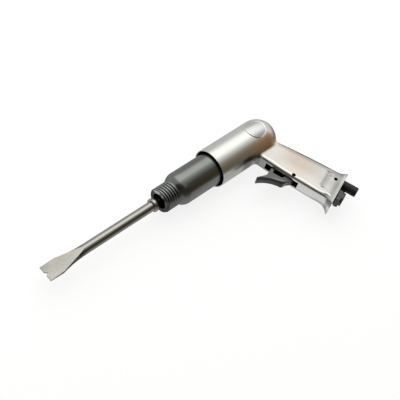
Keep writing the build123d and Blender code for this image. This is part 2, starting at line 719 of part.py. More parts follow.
with BuildPart() as throttle_seal:
    with BuildSketch(throttle_plane):
        with Locations((bushing_end, STEM_RADIUS + SEAT_GAP)):
            Rectangle(
                THROTTLE_SEAL_THICKNESS,
                STEM_HEAD_RADIUS - STEM_RADIUS - SEAT_GAP,
                align=(Align.MIN, Align.MIN),
            )
    revolve(axis=throttle_axis)
throttle_seal.part.label = "throttle_seal"
export_step(throttle_seal.part, "parts/throttle_seal.step")

with BuildPart() as throttle_spring:
    with BuildSketch(throttle_plane):
        with Locations((head_end, SPRING_RADIUS - SPRING_WIRE)):
            Rectangle(SPRING_LENGTH - FACE_GAP, SPRING_WIRE, align=(Align.MIN, Align.MIN))
    revolve(axis=throttle_axis)
throttle_spring.part.label = "throttle_spring"
export_step(throttle_spring.part, "parts/throttle_spring.step")

# Regulator: the knob and its plug, with seal groove, pin groove and an angled air way
with BuildPart() as regulator:
    with BuildSketch(regulator_plane):
        with BuildLine():
            Polyline(
                (-KNOB_LENGTH, 0),
                (-KNOB_LENGTH, KNOB_RADIUS - KNOB_CHAMFER),
                (-KNOB_LENGTH + KNOB_CHAMFER, KNOB_RADIUS),
                (0, KNOB_RADIUS),
                (0, PLUG_RADIUS),
                (PLUG_SEAL_UP, PLUG_RADIUS),
                (PLUG_SEAL_UP, PLUG_RADIUS - SEAL_DEPTH),
                (PLUG_SEAL_UP + SEAL_WIDTH, PLUG_RADIUS - SEAL_DEPTH),
                (PLUG_SEAL_UP + SEAL_WIDTH, PLUG_RADIUS),
                (REGULATOR_PIN_UP - pin_groove_half, PLUG_RADIUS),
                (REGULATOR_PIN_UP - pin_groove_half, PLUG_RADIUS - PIN_GROOVE_DEPTH),
                (REGULATOR_PIN_UP + pin_groove_half, PLUG_RADIUS - PIN_GROOVE_DEPTH),
                (REGULATOR_PIN_UP + pin_groove_half, PLUG_RADIUS),
                (PLUG_LENGTH, PLUG_RADIUS),
                (PLUG_LENGTH, PLUG_WAY_RADIUS),
                (PLUG_PORT_UP - PLUG_WAY_RADIUS, PLUG_WAY_RADIUS),
                (PLUG_PORT_UP - PLUG_WAY_RADIUS, 0),
                close=True,
            )
        make_face()
    revolve(axis=regulator_axis)
    with BuildSketch(Plane(grip_point(REGULATOR_BACK, PLUG_PORT_UP), z_dir=-grip_plane.x_dir)):
        Circle(PLUG_PORT_RADIUS)
    extrude(amount=KNOB_RADIUS, mode=Mode.SUBTRACT)
regulator.part.label = "regulator"
export_step(regulator.part, "parts/regulator.step")

with BuildPart() as regulator_seal:
    with BuildSketch(base_plane.offset(PLUG_SEAL_UP)):
        with Locations((REGULATOR_BACK, 0)):
            Circle(PLUG_RADIUS + SEAT_GAP)
            Circle(PLUG_RADIUS - SEAL_DEPTH, mode=Mode.SUBTRACT)
    extrude(amount=SEAL_WIDTH)
regulator_seal.part.label = "regulator_seal"
export_step(regulator_seal.part, "parts/regulator_seal.step")

# Inlet bushing: hexagon head between a spigot in the base and a short collar, bored for the pipe thread
with BuildPart() as inlet_bushing:
    with BuildSketch(base_plane.offset(hex_end)):
        with Locations((-INLET_AHEAD, 0)):
            RegularPolygon(hex_corner, 6, rotation=HEX_TURN)
    extrude(amount=HEX_LENGTH)
    with BuildSketch(inlet_plane):
        with BuildLine():
            Polyline(
                (hex_end, 0),
                (hex_end, hex_corner - HEX_CHAMFER),
                (hex_end + HEX_CHAMFER / 2, hex_corner),
                (-INLET_SEAL_THICKNESS, hex_corner),
                (-INLET_SEAL_THICKNESS, 0),
                close=True,
            )
        make_face()
    revolve(axis=inlet_axis, mode=Mode.INTERSECT)
    with BuildSketch(inlet_plane):
        with BuildLine():
            Polyline(
                (inlet_face, 0),
                (inlet_face, INLET_COLLAR_RADIUS - INLET_COLLAR_CHAMFER),
                (inlet_face + INLET_COLLAR_CHAMFER, INLET_COLLAR_RADIUS),
                (hex_end, INLET_COLLAR_RADIUS),
                (hex_end, INLET_SPIGOT_RADIUS),
                (INLET_SPIGOT_LENGTH, INLET_SPIGOT_RADIUS),
                (INLET_SPIGOT_LENGTH, 0),
                close=True,
            )
        make_face()
    revolve(axis=inlet_axis)
    with BuildSketch(inlet_plane):
        with BuildLine():
            Polyline(
                (inlet_face, 0),
                (inlet_face, INLET_BORE_RADIUS + INLET_BORE_CHAMFER),
                (inlet_face + INLET_BORE_CHAMFER, INLET_BORE_RADIUS),
                (INLET_SPIGOT_LENGTH, INLET_BORE_RADIUS),
                (INLET_SPIGOT_LENGTH, 0),
                close=True,
            )
        make_face()
    revolve(axis=inlet_axis, mode=Mode.SUBTRACT)
inlet_bushing.part.label = "inlet_bushing"
export_step(inlet_bushing.part, "parts/inlet_bushing.step")

with BuildPart() as inlet_seal:
    with BuildSketch(base_plane):
        with Locations((-INLET_AHEAD, 0)):
            Circle(INLET_SEAL_RADIUS)
            Circle(INLET_SPIGOT_RADIUS + SEAT_GAP, mode=Mode.SUBTRACT)
    extrude(amount=-INLET_SEAL_THICKNESS)
inlet_seal.part.label = "inlet_seal"
export_step(inlet_seal.part, "parts/inlet_seal.step")

# Strainer disc between the inlet bushing and the bottom of its bore
with BuildPart() as inlet_screen:
    with BuildSketch(base_plane.offset(INLET_SPIGOT_LENGTH)):
        with Locations((-INLET_AHEAD, 0)):
            Circle(INLET_SPIGOT_RADIUS)
            Circle(SCREEN_HOLE_RADIUS, mode=Mode.SUBTRACT)
            with PolarLocations(SCREEN_RING_RADIUS, SCREEN_HOLES):
                Circle(SCREEN_HOLE_RADIUS, mode=Mode.SUBTRACT)
    extrude(amount=SCREEN_THICKNESS)
inlet_screen.part.label = "inlet_screen"
export_step(inlet_screen.part, "parts/inlet_screen.step")
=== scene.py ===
import math
from types import SimpleNamespace

import bpy
from mathutils import Matrix, Vector


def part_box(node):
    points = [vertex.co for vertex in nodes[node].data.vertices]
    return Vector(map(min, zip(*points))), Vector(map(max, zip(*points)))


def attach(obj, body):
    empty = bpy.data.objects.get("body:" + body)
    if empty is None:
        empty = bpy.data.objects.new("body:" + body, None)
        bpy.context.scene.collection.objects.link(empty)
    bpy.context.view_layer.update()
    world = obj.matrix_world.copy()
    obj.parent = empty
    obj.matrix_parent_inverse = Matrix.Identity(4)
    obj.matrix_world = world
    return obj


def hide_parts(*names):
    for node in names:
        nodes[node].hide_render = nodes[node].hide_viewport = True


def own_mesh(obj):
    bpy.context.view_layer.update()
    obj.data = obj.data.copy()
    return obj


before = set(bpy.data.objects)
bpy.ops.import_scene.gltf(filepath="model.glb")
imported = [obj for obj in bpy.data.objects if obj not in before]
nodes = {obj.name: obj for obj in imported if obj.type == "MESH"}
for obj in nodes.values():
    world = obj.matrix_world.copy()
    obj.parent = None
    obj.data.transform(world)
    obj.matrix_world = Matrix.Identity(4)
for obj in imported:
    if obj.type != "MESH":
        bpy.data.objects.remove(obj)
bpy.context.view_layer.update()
scene = bpy.context.scene
MM = 0.001

# Camera at the photograph's angle, rolled about its own axis
CAMERA_PLACE = (-0.4518, -0.3067, 0.7801)
CAMERA_RIGHT = Vector((0.7226, -0.6607, 0.2035))
CAMERA_UP = Vector((0.4774, 0.6898, 0.5443))
CAMERA_BACK = Vector((-0.5, -0.2962, 0.8138))
camera_data = bpy.data.cameras.new("camera")
camera_data.lens = 85.5
camera_data.sensor_width = 36.0
camera_data.clip_start = 0.01
camera_data.clip_end = 50.0
camera = bpy.data.objects.new("camera", camera_data)
camera_axes = Matrix((CAMERA_RIGHT, CAMERA_UP, CAMERA_BACK)).transposed().to_4x4()
camera.matrix_world = Matrix.Translation(CAMERA_PLACE) @ camera_axes.to_quaternion().to_matrix().to_4x4()
scene.collection.objects.link(camera)
scene.camera = camera

# Places in millimetres: the sleeve's mouth comes from the frame, and the dome and the grip's base follow it
SLEEVE_RADIUS, SLEEVE_LENGTH = 21.25, 69.8
SLEEVE_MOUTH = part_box("housing")[0][0] / MM
DOME_CENTRE = SLEEVE_MOUTH + SLEEVE_LENGTH
RAKE = math.radians(19.5)
BACKWARD = Vector((math.cos(RAKE), math.sin(RAKE), 0))
UPWARD = Vector((-math.sin(RAKE), math.cos(RAKE), 0))
SIDEWARD = Vector((0, 0, 1))
BASE_BEHIND, BASE_DROP = 24.9, 101.3
BASE = Vector((DOME_CENTRE + BASE_BEHIND, -BASE_DROP, 0))
PLATE_AHEAD, PLATE_RISE, PLATE_RADIUS, PLATE_CROWN = 6.5, 2.2, 11.2, 4500.0
PLATE = Vector((DOME_CENTRE - PLATE_AHEAD, PLATE_RISE, 0))

# Node helpers


def socket(tree, value, target):
    """Links a node's output to a socket, or sets a plain value on it."""
    if isinstance(value, bpy.types.NodeSocket):
        tree.links.new(value, target)
    else:
        target.default_value = value


def add(tree, kind, settings=None, **inputs):
    """Adds a node, sets its properties and fills its inputs, by name or, as _0, _1 and so on, by number."""
    node = tree.nodes.new(kind)
    for key, value in (settings or {}).items():
        setattr(node, key, value)
    for key, value in inputs.items():
        socket(tree, value, node.inputs[int(key[1:]) if key[0] == "_" else key])
    return node


def maths(tree, operation, a, b=0.0):
    return add(tree, "ShaderNodeMath", {"operation": operation}, _0=a, _1=b).outputs[0]


def times(tree, first, *others):
    for other in others:
        first = maths(tree, "MULTIPLY", first, other)
    return first


def plus(tree, a, b):
    return maths(tree, "ADD", a, b)


def minus(tree, a, b):
    return maths(tree, "SUBTRACT", a, b)


def rest(tree, share):
    """What a share leaves of the whole."""
    return minus(tree, 1.0, share)


def length(tree, a, b):
    return maths(tree, "SQRT", plus(tree, times(tree, a, a), times(tree, b, b)))


def spread(tree, value, low, high, to_low=0.0, to_high=1.0):
    """A value brought from one range to another, eased at both ends."""
    eased = {"interpolation_type": "SMOOTHSTEP"}
    return add(tree, "ShaderNodeMapRange", eased, _0=value, _1=low, _2=high, _3=to_low, _4=to_high).outputs[0]


def ramp(tree, value, low, high, to_low=0.0, to_high=1.0):
    """A spread whose first range is given in millimetres."""
    return spread(tree, value, low * MM, high * MM, to_low, to_high)


def within(tree, value, low, high, soft):
    """One between two limits and nothing outside them, in millimetres."""
    return times(tree, ramp(tree, value, low - soft, low), ramp(tree, value, high, high + soft, 1.0, 0.0))


def vector_maths(tree, operation, a, b=(0.0, 0.0, 0.0)):
    """A vector, or a number where that is what the operation gives."""
    node = add(tree, "ShaderNodeVectorMath", {"operation": operation}, _0=a, _1=b)
    return node.outputs["Value" if operation in ("DOT_PRODUCT", "DISTANCE", "LENGTH") else "Vector"]


def split(tree, vector):
    return add(tree, "ShaderNodeSeparateXYZ", None, _0=vector).outputs


def place_of(tree):
    return add(tree, "ShaderNodeTexCoord").outputs["Object"]


def normal_of(tree):
    return add(tree, "ShaderNodeNewGeometry").outputs["Normal"]


def rounded_normal(tree, radius, samples=6):
    """The normal with the edges rounded by a radius in millimetres."""
    return add(tree, "ShaderNodeBevel", {"samples": samples}, Radius=radius * MM).outputs[0]


def bumped(tree, height, normal):
    """A normal bent by a height in millimetres."""
    node = add(tree, "ShaderNodeBump", None, Strength=1.0, Distance=MM, Height=height, Normal=normal)
    return node.outputs[0]


def along_axes(tree, place, origin, axes):
    """Distances of a place along the given axes from an origin in millimetres."""
    away = vector_maths(tree, "SUBTRACT", place, origin * MM)
    return [vector_maths(tree, "DOT_PRODUCT", away, axis) for axis in axes]


def noise(tree, place, scale, detail=3.0, rough=0.55, stretch=None):
    if stretch:
        place = vector_maths(tree, "MULTIPLY", place, stretch)
    node = add(tree, "ShaderNodeTexNoise", None, Vector=place, Scale=scale, Detail=detail, Roughness=rough)
    return node.outputs[0]


def blend(tree, share, a, b):
    return add(tree, "ShaderNodeMix", None, _0=share, _2=a, _3=b).outputs[0]


def blend_colour(tree, share, a, b, kind="MIX"):
    colours = {"data_type": "RGBA", "blend_type": kind}
    return add(tree, "ShaderNodeMix", colours, _0=share, _6=a, _7=b).outputs[2]


def toned(tree, share, tint, tone):
    """A colour multiplied by a tone, as far as a share says."""
    return blend_colour(tree, share, tint, blend_colour(tree, 1.0, tint, tone, "MULTIPLY"))


def rgb(r, g, b):
    return (r, g, b, 1.0)


def grey(tone):
    return rgb(tone, tone, tone)


def new_material(name):
    """A new material with its tree and its shader."""
    material = bpy.data.materials.new(name)
    material.use_nodes = True
    return material, material.node_tree, material.node_tree.nodes["Principled BSDF"]


def linked(shader, name):
    """What is linked to one of a shader's sockets."""
    return shader.inputs[name].links[0].from_socket


# Finishes in general
MOTTLE_SCALE, GLOSS_SCALE, WEAR_SCALE = 70.0, 240.0, 420.0
STREAK_GLOSS = 0.12


def surface(name, colour, shade, metallic, gloss, grain=1200.0, grain_depth=0.006,
            streak=None, streak_depth=0.0, edge=None, edge_width=0.35, edge_share=0.6,
            specular=0.5, rim=1.0):
    """Mottled colour, uneven gloss, grain, streaks and worn edges. Depths and widths in millimetres."""
    material, tree, shader = new_material(name)
    place = place_of(tree)
    mottle = spread(tree, noise(tree, place, MOTTLE_SCALE, 4.0), 0.35, 0.68)
    tint = blend_colour(tree, mottle, rgb(*colour), rgb(*shade))
    rough = spread(tree, noise(tree, place, GLOSS_SCALE, 4.0), 0.3, 0.7, *gloss)
    height = times(tree, noise(tree, place, grain), grain_depth)
    if streak:
        lines = noise(tree, place, 1.0, 3.0, 0.6, streak)
        height = plus(tree, height, times(tree, lines, streak_depth))
        rough = plus(tree, rough, times(tree, minus(tree, lines, 0.5), STREAK_GLOSS))
    rounded = rounded_normal(tree, edge_width)
    if edge:
        same = vector_maths(tree, "DOT_PRODUCT", rounded, normal_of(tree))
        worn = spread(tree, same, 0.97, 0.80, 0.0, edge_share)
        worn = times(tree, worn, spread(tree, noise(tree, place, WEAR_SCALE), 0.35, 0.6, 0.25, 1.0))
        tint = blend_colour(tree, worn, tint, rgb(*edge))
    socket(tree, tint, shader.inputs["Base Color"])
    socket(tree, rough, shader.inputs["Roughness"])
    socket(tree, bumped(tree, height, rounded), shader.inputs["Normal"])
    shader.inputs["Metallic"].default_value = metallic
    shader.inputs["Specular Tint"].default_value = grey(rim)
    shader.inputs["Specular IOR Level"].default_value = specular
    return material


def dress(piece, material):
    piece.data.materials.clear()
    piece.data.materials.append(material)


fitting_finish = surface("fitting_black", (0.090, 0.090, 0.087), (0.074, 0.074, 0.071), 1.0, (0.22, 0.28),
                         grain=2600.0, grain_depth=0.0, edge=(0.20, 0.20, 0.19), edge_width=0.25,
                         edge_share=0.5, rim=0.4)
knob_finish = surface("knob_black", (0.010, 0.010, 0.010), (0.008, 0.008, 0.008), 0.0, (0.42, 0.50),
                      grain=2600.0, grain_depth=0.004, edge=(0.06, 0.06, 0.06), edge_width=0.3,
                      edge_share=0.5, specular=0.26)
rubber_finish = surface("seal_rubber", (0.022, 0.022, 0.022), (0.016, 0.016, 0.016), 0.0, (0.55, 0.7),
                        grain_depth=0.01)
gasket_finish = surface("gasket_sheet", (0.16, 0.15, 0.13), (0.11, 0.10, 0.09), 0.0, (0.7, 0.85),
                        grain_depth=0.02)
steel_finish = surface("ground_steel", (0.56, 0.56, 0.55), (0.48, 0.48, 0.47), 1.0, (0.22, 0.34),
                       streak=(4200.0, 60.0, 60.0), streak_depth=0.003)
pin_finish = surface("pin_black", (0.030, 0.030, 0.029), (0.022, 0.022, 0.021), 0.8, (0.45, 0.6))
brass_finish = surface("turned_brass", (0.68, 0.52, 0.26), (0.58, 0.43, 0.20), 1.0, (0.24, 0.36),
                       streak=(3200.0, 200.0, 200.0), streak_depth=0.003)
spring_finish = surface("spring_wire", (0.42, 0.42, 0.43), (0.34, 0.34, 0.35), 1.0, (0.25, 0.38))

# Housing: colours of the sleeve, the grip's side, its strap, edges and root, and the plate, many of them
# painted light and shade
SLEEVE_PALE, SLEEVE_GREY = rgb(0.478, 0.478, 0.460), rgb(0.466, 0.464, 0.445)
# The sleeve's pale band is a painted reflection, and its shade is painted shade
SLEEVE_PALE_REFLECTION, SLEEVE_SHADE = rgb(0.64, 0.64, 0.63), rgb(0.15, 0.15, 0.145)
# The brown low on the dome is a painted reflection
DOME_BROWN_REFLECTION, DOME_REFLECTION_PLACE = rgb(0.660, 0.500, 0.350), Vector((127.0, -17.0, 12.5))
DOME_REFLECTION_SQUEEZE = (0.55, 1.0, 1.0)
GRIP_PALE, GRIP_GREY = rgb(0.415, 0.408, 0.386), rgb(0.402, 0.394, 0.370)
GRIP_WARM, GRIP_WARM_PLACE = rgb(0.400, 0.338, 0.286), Vector((143.0, -52.0, 8.5))
# Painted shade on the grip's flare and toe, and a painted highlight along its front edge
FLARE_SHADE, FRONT_HIGHLIGHT, TOE_SHADE = rgb(0.30, 0.30, 0.285), rgb(0.56, 0.55, 0.53), rgb(0.12, 0.12, 0.115)
# The strap's colours are painted light: a pale reflection, greyer with painted shade further up
STRAP_PALE_REFLECTION, STRAP_GREY_SHADE, STRAP_TOP_SHADE = rgb(0.80, 0.80, 0.785), rgb(0.52, 0.52, 0.51), rgb(0.32, 0.32, 0.31)
# Painted shade on the grip's rounded edges
CORNER_SHADE, REAR_SHADE = rgb(0.20, 0.20, 0.195), rgb(0.14, 0.14, 0.135)
# Painted light at the grip's root: brown reflections beside the dome, shade under the sleeve
ROOT_TAN_REFLECTION, ROOT_BROWN_REFLECTION, ROOT_SHADE = rgb(0.66, 0.53, 0.39), rgb(0.42, 0.365, 0.30), rgb(0.19, 0.195, 0.18)
# The rim's brightest colour is a painted highlight, laid on one side of it only
PLATE_GREY, RIM_GREY, RIM_HIGHLIGHT = rgb(0.405, 0.408, 0.396), rgb(0.46, 0.46, 0.445), rgb(0.93, 0.93, 0.88)
# Painted shade in the slot, the holes and closed-in places
HOLLOW_SHADE = rgb(0.012, 0.012, 0.010)
# Outline of the grip: half its depth at the flare and its change with height, the toe and the rear edge
FLARE_UP, GRIP_HALF, GRIP_TAPER, GRIP_WAIST = 13.0, 19.0, 0.115, 0.62
TOE_DROP, TOE_REACH, TOE_CURVE = 12.0, 5.3, 2.2
REAR_EDGE, REAR_LEAN = 18.12, 0.052
# The pad's painted shade: stretch up the grip and stretch backward, each as low, high and softness, and the
# shade, which is painted lighter where it is negative
PAD_PAINTED_SHADES = (
    ((19.6, 21.4, 0.8), (-6.0, 11.0, 1.5), -0.32),
    ((15.8, 18.6, 0.8), (11.0, 12.2, 0.6), 0.34),
    ((14.0, 20.5, 1.0), (12.7, 13.9, 0.5), -0.30),
    ((16.0, 19.5, 0.8), (-10.4, -8.4, 0.7), 0.22),
    ((9.0, 14.5, 3.0), (9.5, 14.5, 2.0), 0.22),
)
# Pin holes: place backward and up the grip, and radius
PIN_HOLES = ((-14.4, 48.9, 2.0), (8.15, 8.8, 1.95))
HOLE_SOFT = 0.25


def housing_places(tree):
    """A point of the housing: its place in the frame and on the grip, and how it faces."""
    place, facing = place_of(tree), normal_of(tree)
    x, y, z = split(tree, place)
    back, up = along_axes(tree, place, BASE, (BACKWARD, UPWARD))
    level = maths(tree, "ABSOLUTE", split(tree, facing)[2])
    ahead = vector_maths(tree, "DOT_PRODUCT", facing, -BACKWARD)
    return SimpleNamespace(place=place, x=x, y=y, z=z, off_axis=length(tree, y, z), back=back, up=up,
                           level=level, ahead=ahead)


def sleeve_tint_and_light(tree, at, mottle):
    """Sleeve: a painted brown reflection low on the dome, a paler band of painted reflection ahead of the
    grip, a dark one of painted shade above the strap's root.
    """
    tint = blend_colour(tree, mottle, SLEEVE_PALE, SLEEVE_GREY)
    # Painted reflection: brown low on the dome
    off_reflection = vector_maths(tree, "SUBTRACT", at.place, DOME_REFLECTION_PLACE * MM)
    off_reflection = vector_maths(tree, "LENGTH", vector_maths(tree, "MULTIPLY", off_reflection, DOME_REFLECTION_SQUEEZE))
    tint = blend_colour(tree, ramp(tree, off_reflection, 4.0, 19.0, 0.95, 0.0), tint, DOME_BROWN_REFLECTION)
    # Painted reflection: a paler band on the underside ahead of the grip
    band = times(tree, ramp(tree, at.y, -16.4, -17.4, 0.0, 0.8), ramp(tree, at.y, -18.8, -19.8, 1.0, 0.0),
                 ramp(tree, at.x, 80.0, 90.0, 1.0, 0.0))
    tint = blend_colour(tree, band, tint, SLEEVE_PALE_REFLECTION)
    # Painted shade on the underside above the strap's root
    shaded = times(tree, ramp(tree, at.x, 85.0, 95.0, 0.0, 0.95), ramp(tree, at.x, 100.0, 108.0, 1.0, 0.5),
                   ramp(tree, at.y, -16.7, -18.2))
    return blend_colour(tree, shaded, tint, SLEEVE_SHADE)


def grip_edges(tree, at):
    """How far a point lies behind the grip's front edge and before its rear edge."""
    rise = minus(tree, at.up, FLARE_UP * MM)
    above = maths(tree, "MAXIMUM", rise, 0.0)
    below = maths(tree, "MAXIMUM", times(tree, rise, -1.0), 0.0)
    half = minus(tree, GRIP_HALF * MM, times(tree, rise, GRIP_TAPER))
    half = plus(tree, half, times(tree, above, above, GRIP_WAIST))
    toe = maths(tree, "POWER", maths(tree, "DIVIDE", below, TOE_DROP * MM), TOE_CURVE)
    front = plus(tree, half, times(tree, toe, TOE_REACH * MM))
    front = minus(tree, front, ramp(tree, at.up, 20.0, 4.0, 0.0, 4.6 * MM))
    front = plus(tree, front, times(tree, within(tree, at.up, 48.0, 62.0, 12.0), 1.3 * MM))
    rear = minus(tree, REAR_EDGE * MM, times(tree, at.up, REAR_LEAN))
    return plus(tree, at.back, front), minus(tree, rear, at.back)


def pad_shade(tree, at):
    """How much painted shade darkens the plain pad on the grip's side, or how much it lightens the pad where
    the shade is negative.
    """
    shade = times(tree, ramp(tree, at.up, 11.5, 17.0, 0.0, 0.33), ramp(tree, at.up, 18.3, 19.6, 1.0, 0.0),
                  within(tree, at.back, -10.0, 9.5, 1.5))
    for up, back, share in PAD_PAINTED_SHADES:
        mark = times(tree, within(tree, at.up, *up), within(tree, at.back, *back), share)
        shade = plus(tree, shade, mark)
    return shade


def side_tint_and_light(tree, at, mottle):
    """Side of the grip: warmer round one patch, painted shade low on the flare, at the rear, on the pad and
    at the toe, and a bright line of painted highlight at its front edge.
    """
    tint = blend_colour(tree, mottle, GRIP_PALE, GRIP_GREY)
    off_warm = vector_maths(tree, "DISTANCE", at.place, GRIP_WARM_PLACE * MM)
    tint = blend_colour(tree, ramp(tree, off_warm, 4.0, 30.0, 0.85, 0.0), tint, GRIP_WARM)
    # Painted shade low on the flare
    flare = times(tree, ramp(tree, at.up, 6.0, 17.0, 0.8, 0.0), ramp(tree, at.back, 12.0, 0.0, 0.3, 1.0))
    tint = blend_colour(tree, flare, tint, FLARE_SHADE)
    behind_front, before_rear = grip_edges(tree, at)
    flank = spread(tree, at.level, 0.90, 0.97)
    # Painted shade towards the rear, in the flare's valley and on the pad
    tone = ramp(tree, at.back, -10.0, 2.0, 1.08, 0.93)
    tone = plus(tree, tone, times(tree, rest(tree, tone), ramp(tree, at.up, 60.0, 72.0)))
    tone = times(tree, tone, ramp(tree, before_rear, 6.0, 1.2, 1.0, 0.66))
    valley = times(tree, ramp(tree, at.up, 1.2, 3.2, 0.0, 0.37), ramp(tree, at.up, 5.2, 10.0, 1.0, 0.0))
    tone = times(tree, tone, rest(tree, valley), rest(tree, pad_shade(tree, at)))
    tint = toned(tree, flank, tint, tone)
    # Painted highlight: a bright line along the front edge
    line = times(tree, within(tree, behind_front, 1.9, 2.7, 0.9), ramp(tree, at.up, 4.0, 6.5), flank)
    tint = blend_colour(tree, line, tint, FRONT_HIGHLIGHT)
    # Painted shade at the toe
    toe = times(tree, ramp(tree, behind_front, 2.2, 0.6), ramp(tree, at.up, 15.0, 11.0),
                ramp(tree, at.up, 5.0, 9.0), flank)
    return blend_colour(tree, toe, tint, TOE_SHADE)


def strap_painted_light(tree, at):
    """Strap in front: pale as a painted reflection, darker with painted shade up beside the slot, across the
    toe's hollow and towards the floor.
    """
    # Painted reflection, with painted shade further up the strap
    tint = blend_colour(tree, ramp(tree, at.up, 42.0, 62.0), STRAP_PALE_REFLECTION, STRAP_GREY_SHADE)
    tint = blend_colour(tree, ramp(tree, at.up, 68.0, 83.0), tint, STRAP_TOP_SHADE)
    # Painted shade across the toe's hollow, towards the floor and on the toe's upper side
    tone = rest(tree, times(tree, within(tree, at.up, 3.8, 6.0, 2.0), 0.38))
    lower = plus(tree, at.z, ramp(tree, at.up, 17.0, 25.0, 0.0, 1.9 * MM))
    tone = times(tree, tone, ramp(tree, lower, -1.8, -3.8, 1.0, 0.66))
    shade = times(tree, ramp(tree, at.z, 0.5, 6.0, 0.0, 0.62), ramp(tree, at.up, 10.0, 5.0))
    return toned(tree, 1.0, tint, times(tree, tone, rest(tree, shade)))


def grip_tint_and_light(tree, at, mottle):
    """The grip's side, its strap, and painted shade on the rounded edges in front and at the rear."""
    strap = times(tree, spread(tree, at.level, 0.60, 0.40), spread(tree, at.ahead, 0.05, 0.25))
    tint = blend_colour(tree, strap, side_tint_and_light(tree, at, mottle), strap_painted_light(tree, at))
    below_root = ramp(tree, at.off_axis, 25.0, 28.0)
    turned = plus(tree, at.level, ramp(tree, at.up, 42.0, 54.0, 0.0, 0.10))
    # Painted shade on the rounded front edge
    corner = times(tree, spread(tree, turned, 0.985, 0.94), spread(tree, at.level, 0.36, 0.60),
                   spread(tree, at.ahead, 0.05, 0.15), below_root)
    tint = blend_colour(tree, corner, tint, CORNER_SHADE)
    # Painted shade on the rounded rear edge
    rear = times(tree, spread(tree, at.level, 0.998, 0.97), spread(tree, at.ahead, -0.02, -0.10), below_root)
    return blend_colour(tree, rear, tint, REAR_SHADE)


def root_painted_light(tree, at, tint):
    """Root of the grip: a painted brown reflection beside the dome, painted shade under the sleeve in front.
    """
    # Painted brown reflection beside the dome
    beside = times(tree, ramp(tree, at.off_axis, 22.4, 25.5, 0.85, 0.0), ramp(tree, at.x, 100.0, 114.0),
                   ramp(tree, at.y, -13.0, -16.0), ramp(tree, at.z, 12.8, 11.0), ramp(tree, at.z, 3.0, 6.0))
    brown = blend_colour(tree, ramp(tree, at.off_axis, 21.3, 21.8), ROOT_TAN_REFLECTION, ROOT_BROWN_REFLECTION)
    tint = blend_colour(tree, beside, tint, brown)
    # Painted shade under the sleeve in front
    under = times(tree, ramp(tree, at.off_axis, 21.26, 21.5, 0.0, 0.95), spread(tree, at.ahead, 0.08, 0.30),
                  ramp(tree, at.off_axis, 23.0, 25.5, 1.0, 0.0))
    return blend_colour(tree, under, tint, ROOT_SHADE)


def plate_tint_and_highlight(tree, at, tint):
    """Plate on the dome with a pale rim: the tint, the rim's painted highlight on one side and the plate's
    slight crown.
    """
    off_x = minus(tree, at.x, PLATE.x * MM)
    off_middle = length(tree, off_x, minus(tree, at.y, PLATE.y * MM))
    on_top = ramp(tree, at.z, 9.0, 10.0)
    disc = times(tree, ramp(tree, off_middle, 10.4, PLATE_RADIUS, 1.0, 0.0), on_top)
    tint = blend_colour(tree, disc, tint, PLATE_GREY)
    rim = times(tree, within(tree, off_middle, 10.7, 12.1, 0.3), on_top)
    lean = minus(tree, times(tree, off_x, 0.9), times(tree, at.y, 0.45))
    # Painted highlight on the rim's rearward, lower side
    bright = times(tree, rim, ramp(tree, lean, -3.0, 6.0))
    tint = blend_colour(tree, rim, tint, RIM_GREY)
    tint = blend_colour(tree, bright, tint, RIM_HIGHLIGHT)
    inside = maths(tree, "MINIMUM", off_middle, PLATE_RADIUS * MM)
    crown = minus(tree, times(tree, inside, inside), (PLATE_RADIUS * MM) ** 2)
    return tint, bright, times(tree, crown, on_top, -PLATE_CROWN)


def hollows(tree, at):
    """How much painted shade darkens the trigger's slot, the two pin holes and wherever else it is closed in.
    """
    hidden = add(tree, "ShaderNodeAmbientOcclusion", {"samples": 8}, Distance=5.0 * MM).outputs["AO"]
    dark = spread(tree, hidden, 0.42, 0.14, 0.0, 0.95)
    slot = times(tree, within(tree, at.z, -4.45, 4.45, 0.1), within(tree, at.up, 40.7, 80.0, 0.3),
                 ramp(tree, at.back, -8.4, -8.0, 1.0, 0.0))
    dark = maths(tree, "MAXIMUM", dark, slot)
    for hole_back, hole_up, radius in PIN_HOLES:
        off = length(tree, minus(tree, at.back, hole_back * MM), minus(tree, at.up, hole_up * MM))
        dark = maths(tree, "MAXIMUM", dark, ramp(tree, off, radius, radius + HOLE_SOFT, 1.0, 0.0))
    return dark


def housing_surface():
    """Cast aluminium: polished sleeve, tumbled grip, with painted light and shade, the shade dark at the
    rounded edges and in the hollows.
    """
    material, tree, shader = new_material("cast_aluminium")
    at = housing_places(tree)
    on_sleeve = ramp(tree, at.off_axis, 21.9, 24.2, 1.0, 0.0)
    mottle = spread(tree, noise(tree, at.place, 45.0, 4.0), 0.3, 0.7)
    tint = blend_colour(tree, on_sleeve, grip_tint_and_light(tree, at, mottle), sleeve_tint_and_light(tree, at, mottle))
    tint, bright, crown = plate_tint_and_highlight(tree, at, root_painted_light(tree, at, tint))
    dark = hollows(tree, at)
    # Painted shade in the hollows
    tint = blend_colour(tree, dark, tint, HOLLOW_SHADE)
    cast = noise(tree, at.place, 520.0, 4.0, 0.6)
    fine = noise(tree, at.place, 900.0, 3.0, 0.6, (1.0, 0.35, 0.35))
    tumbled = spread(tree, cast, 0.3, 0.7, 0.36, 0.43)
    polished = spread(tree, fine, 0.3, 0.7, 0.30, 0.325)
    rough = blend(tree, dark, blend(tree, on_sleeve, tumbled, polished), 0.8)
    height = plus(tree, times(tree, cast, 0.010, rest(tree, on_sleeve)), crown)
    socket(tree, tint, shader.inputs["Base Color"])
    socket(tree, rough, shader.inputs["Roughness"])
    # The rim's painted highlight is made less metallic
    socket(tree, rest(tree, times(tree, bright, 0.7)), shader.inputs["Metallic"])
    socket(tree, bumped(tree, height, rounded_normal(tree, 0.35)), shader.inputs["Normal"])
    shader.inputs["Specular Tint"].default_value = grey(0.7)
    return material


# Chisel, trigger and barrel: the colours that their marks have
# The rod's flank colour is painted shade
BLADE_SIDE, ROD_FLANK_SHADE = rgb(0.105, 0.100, 0.084), rgb(0.198, 0.194, 0.176)
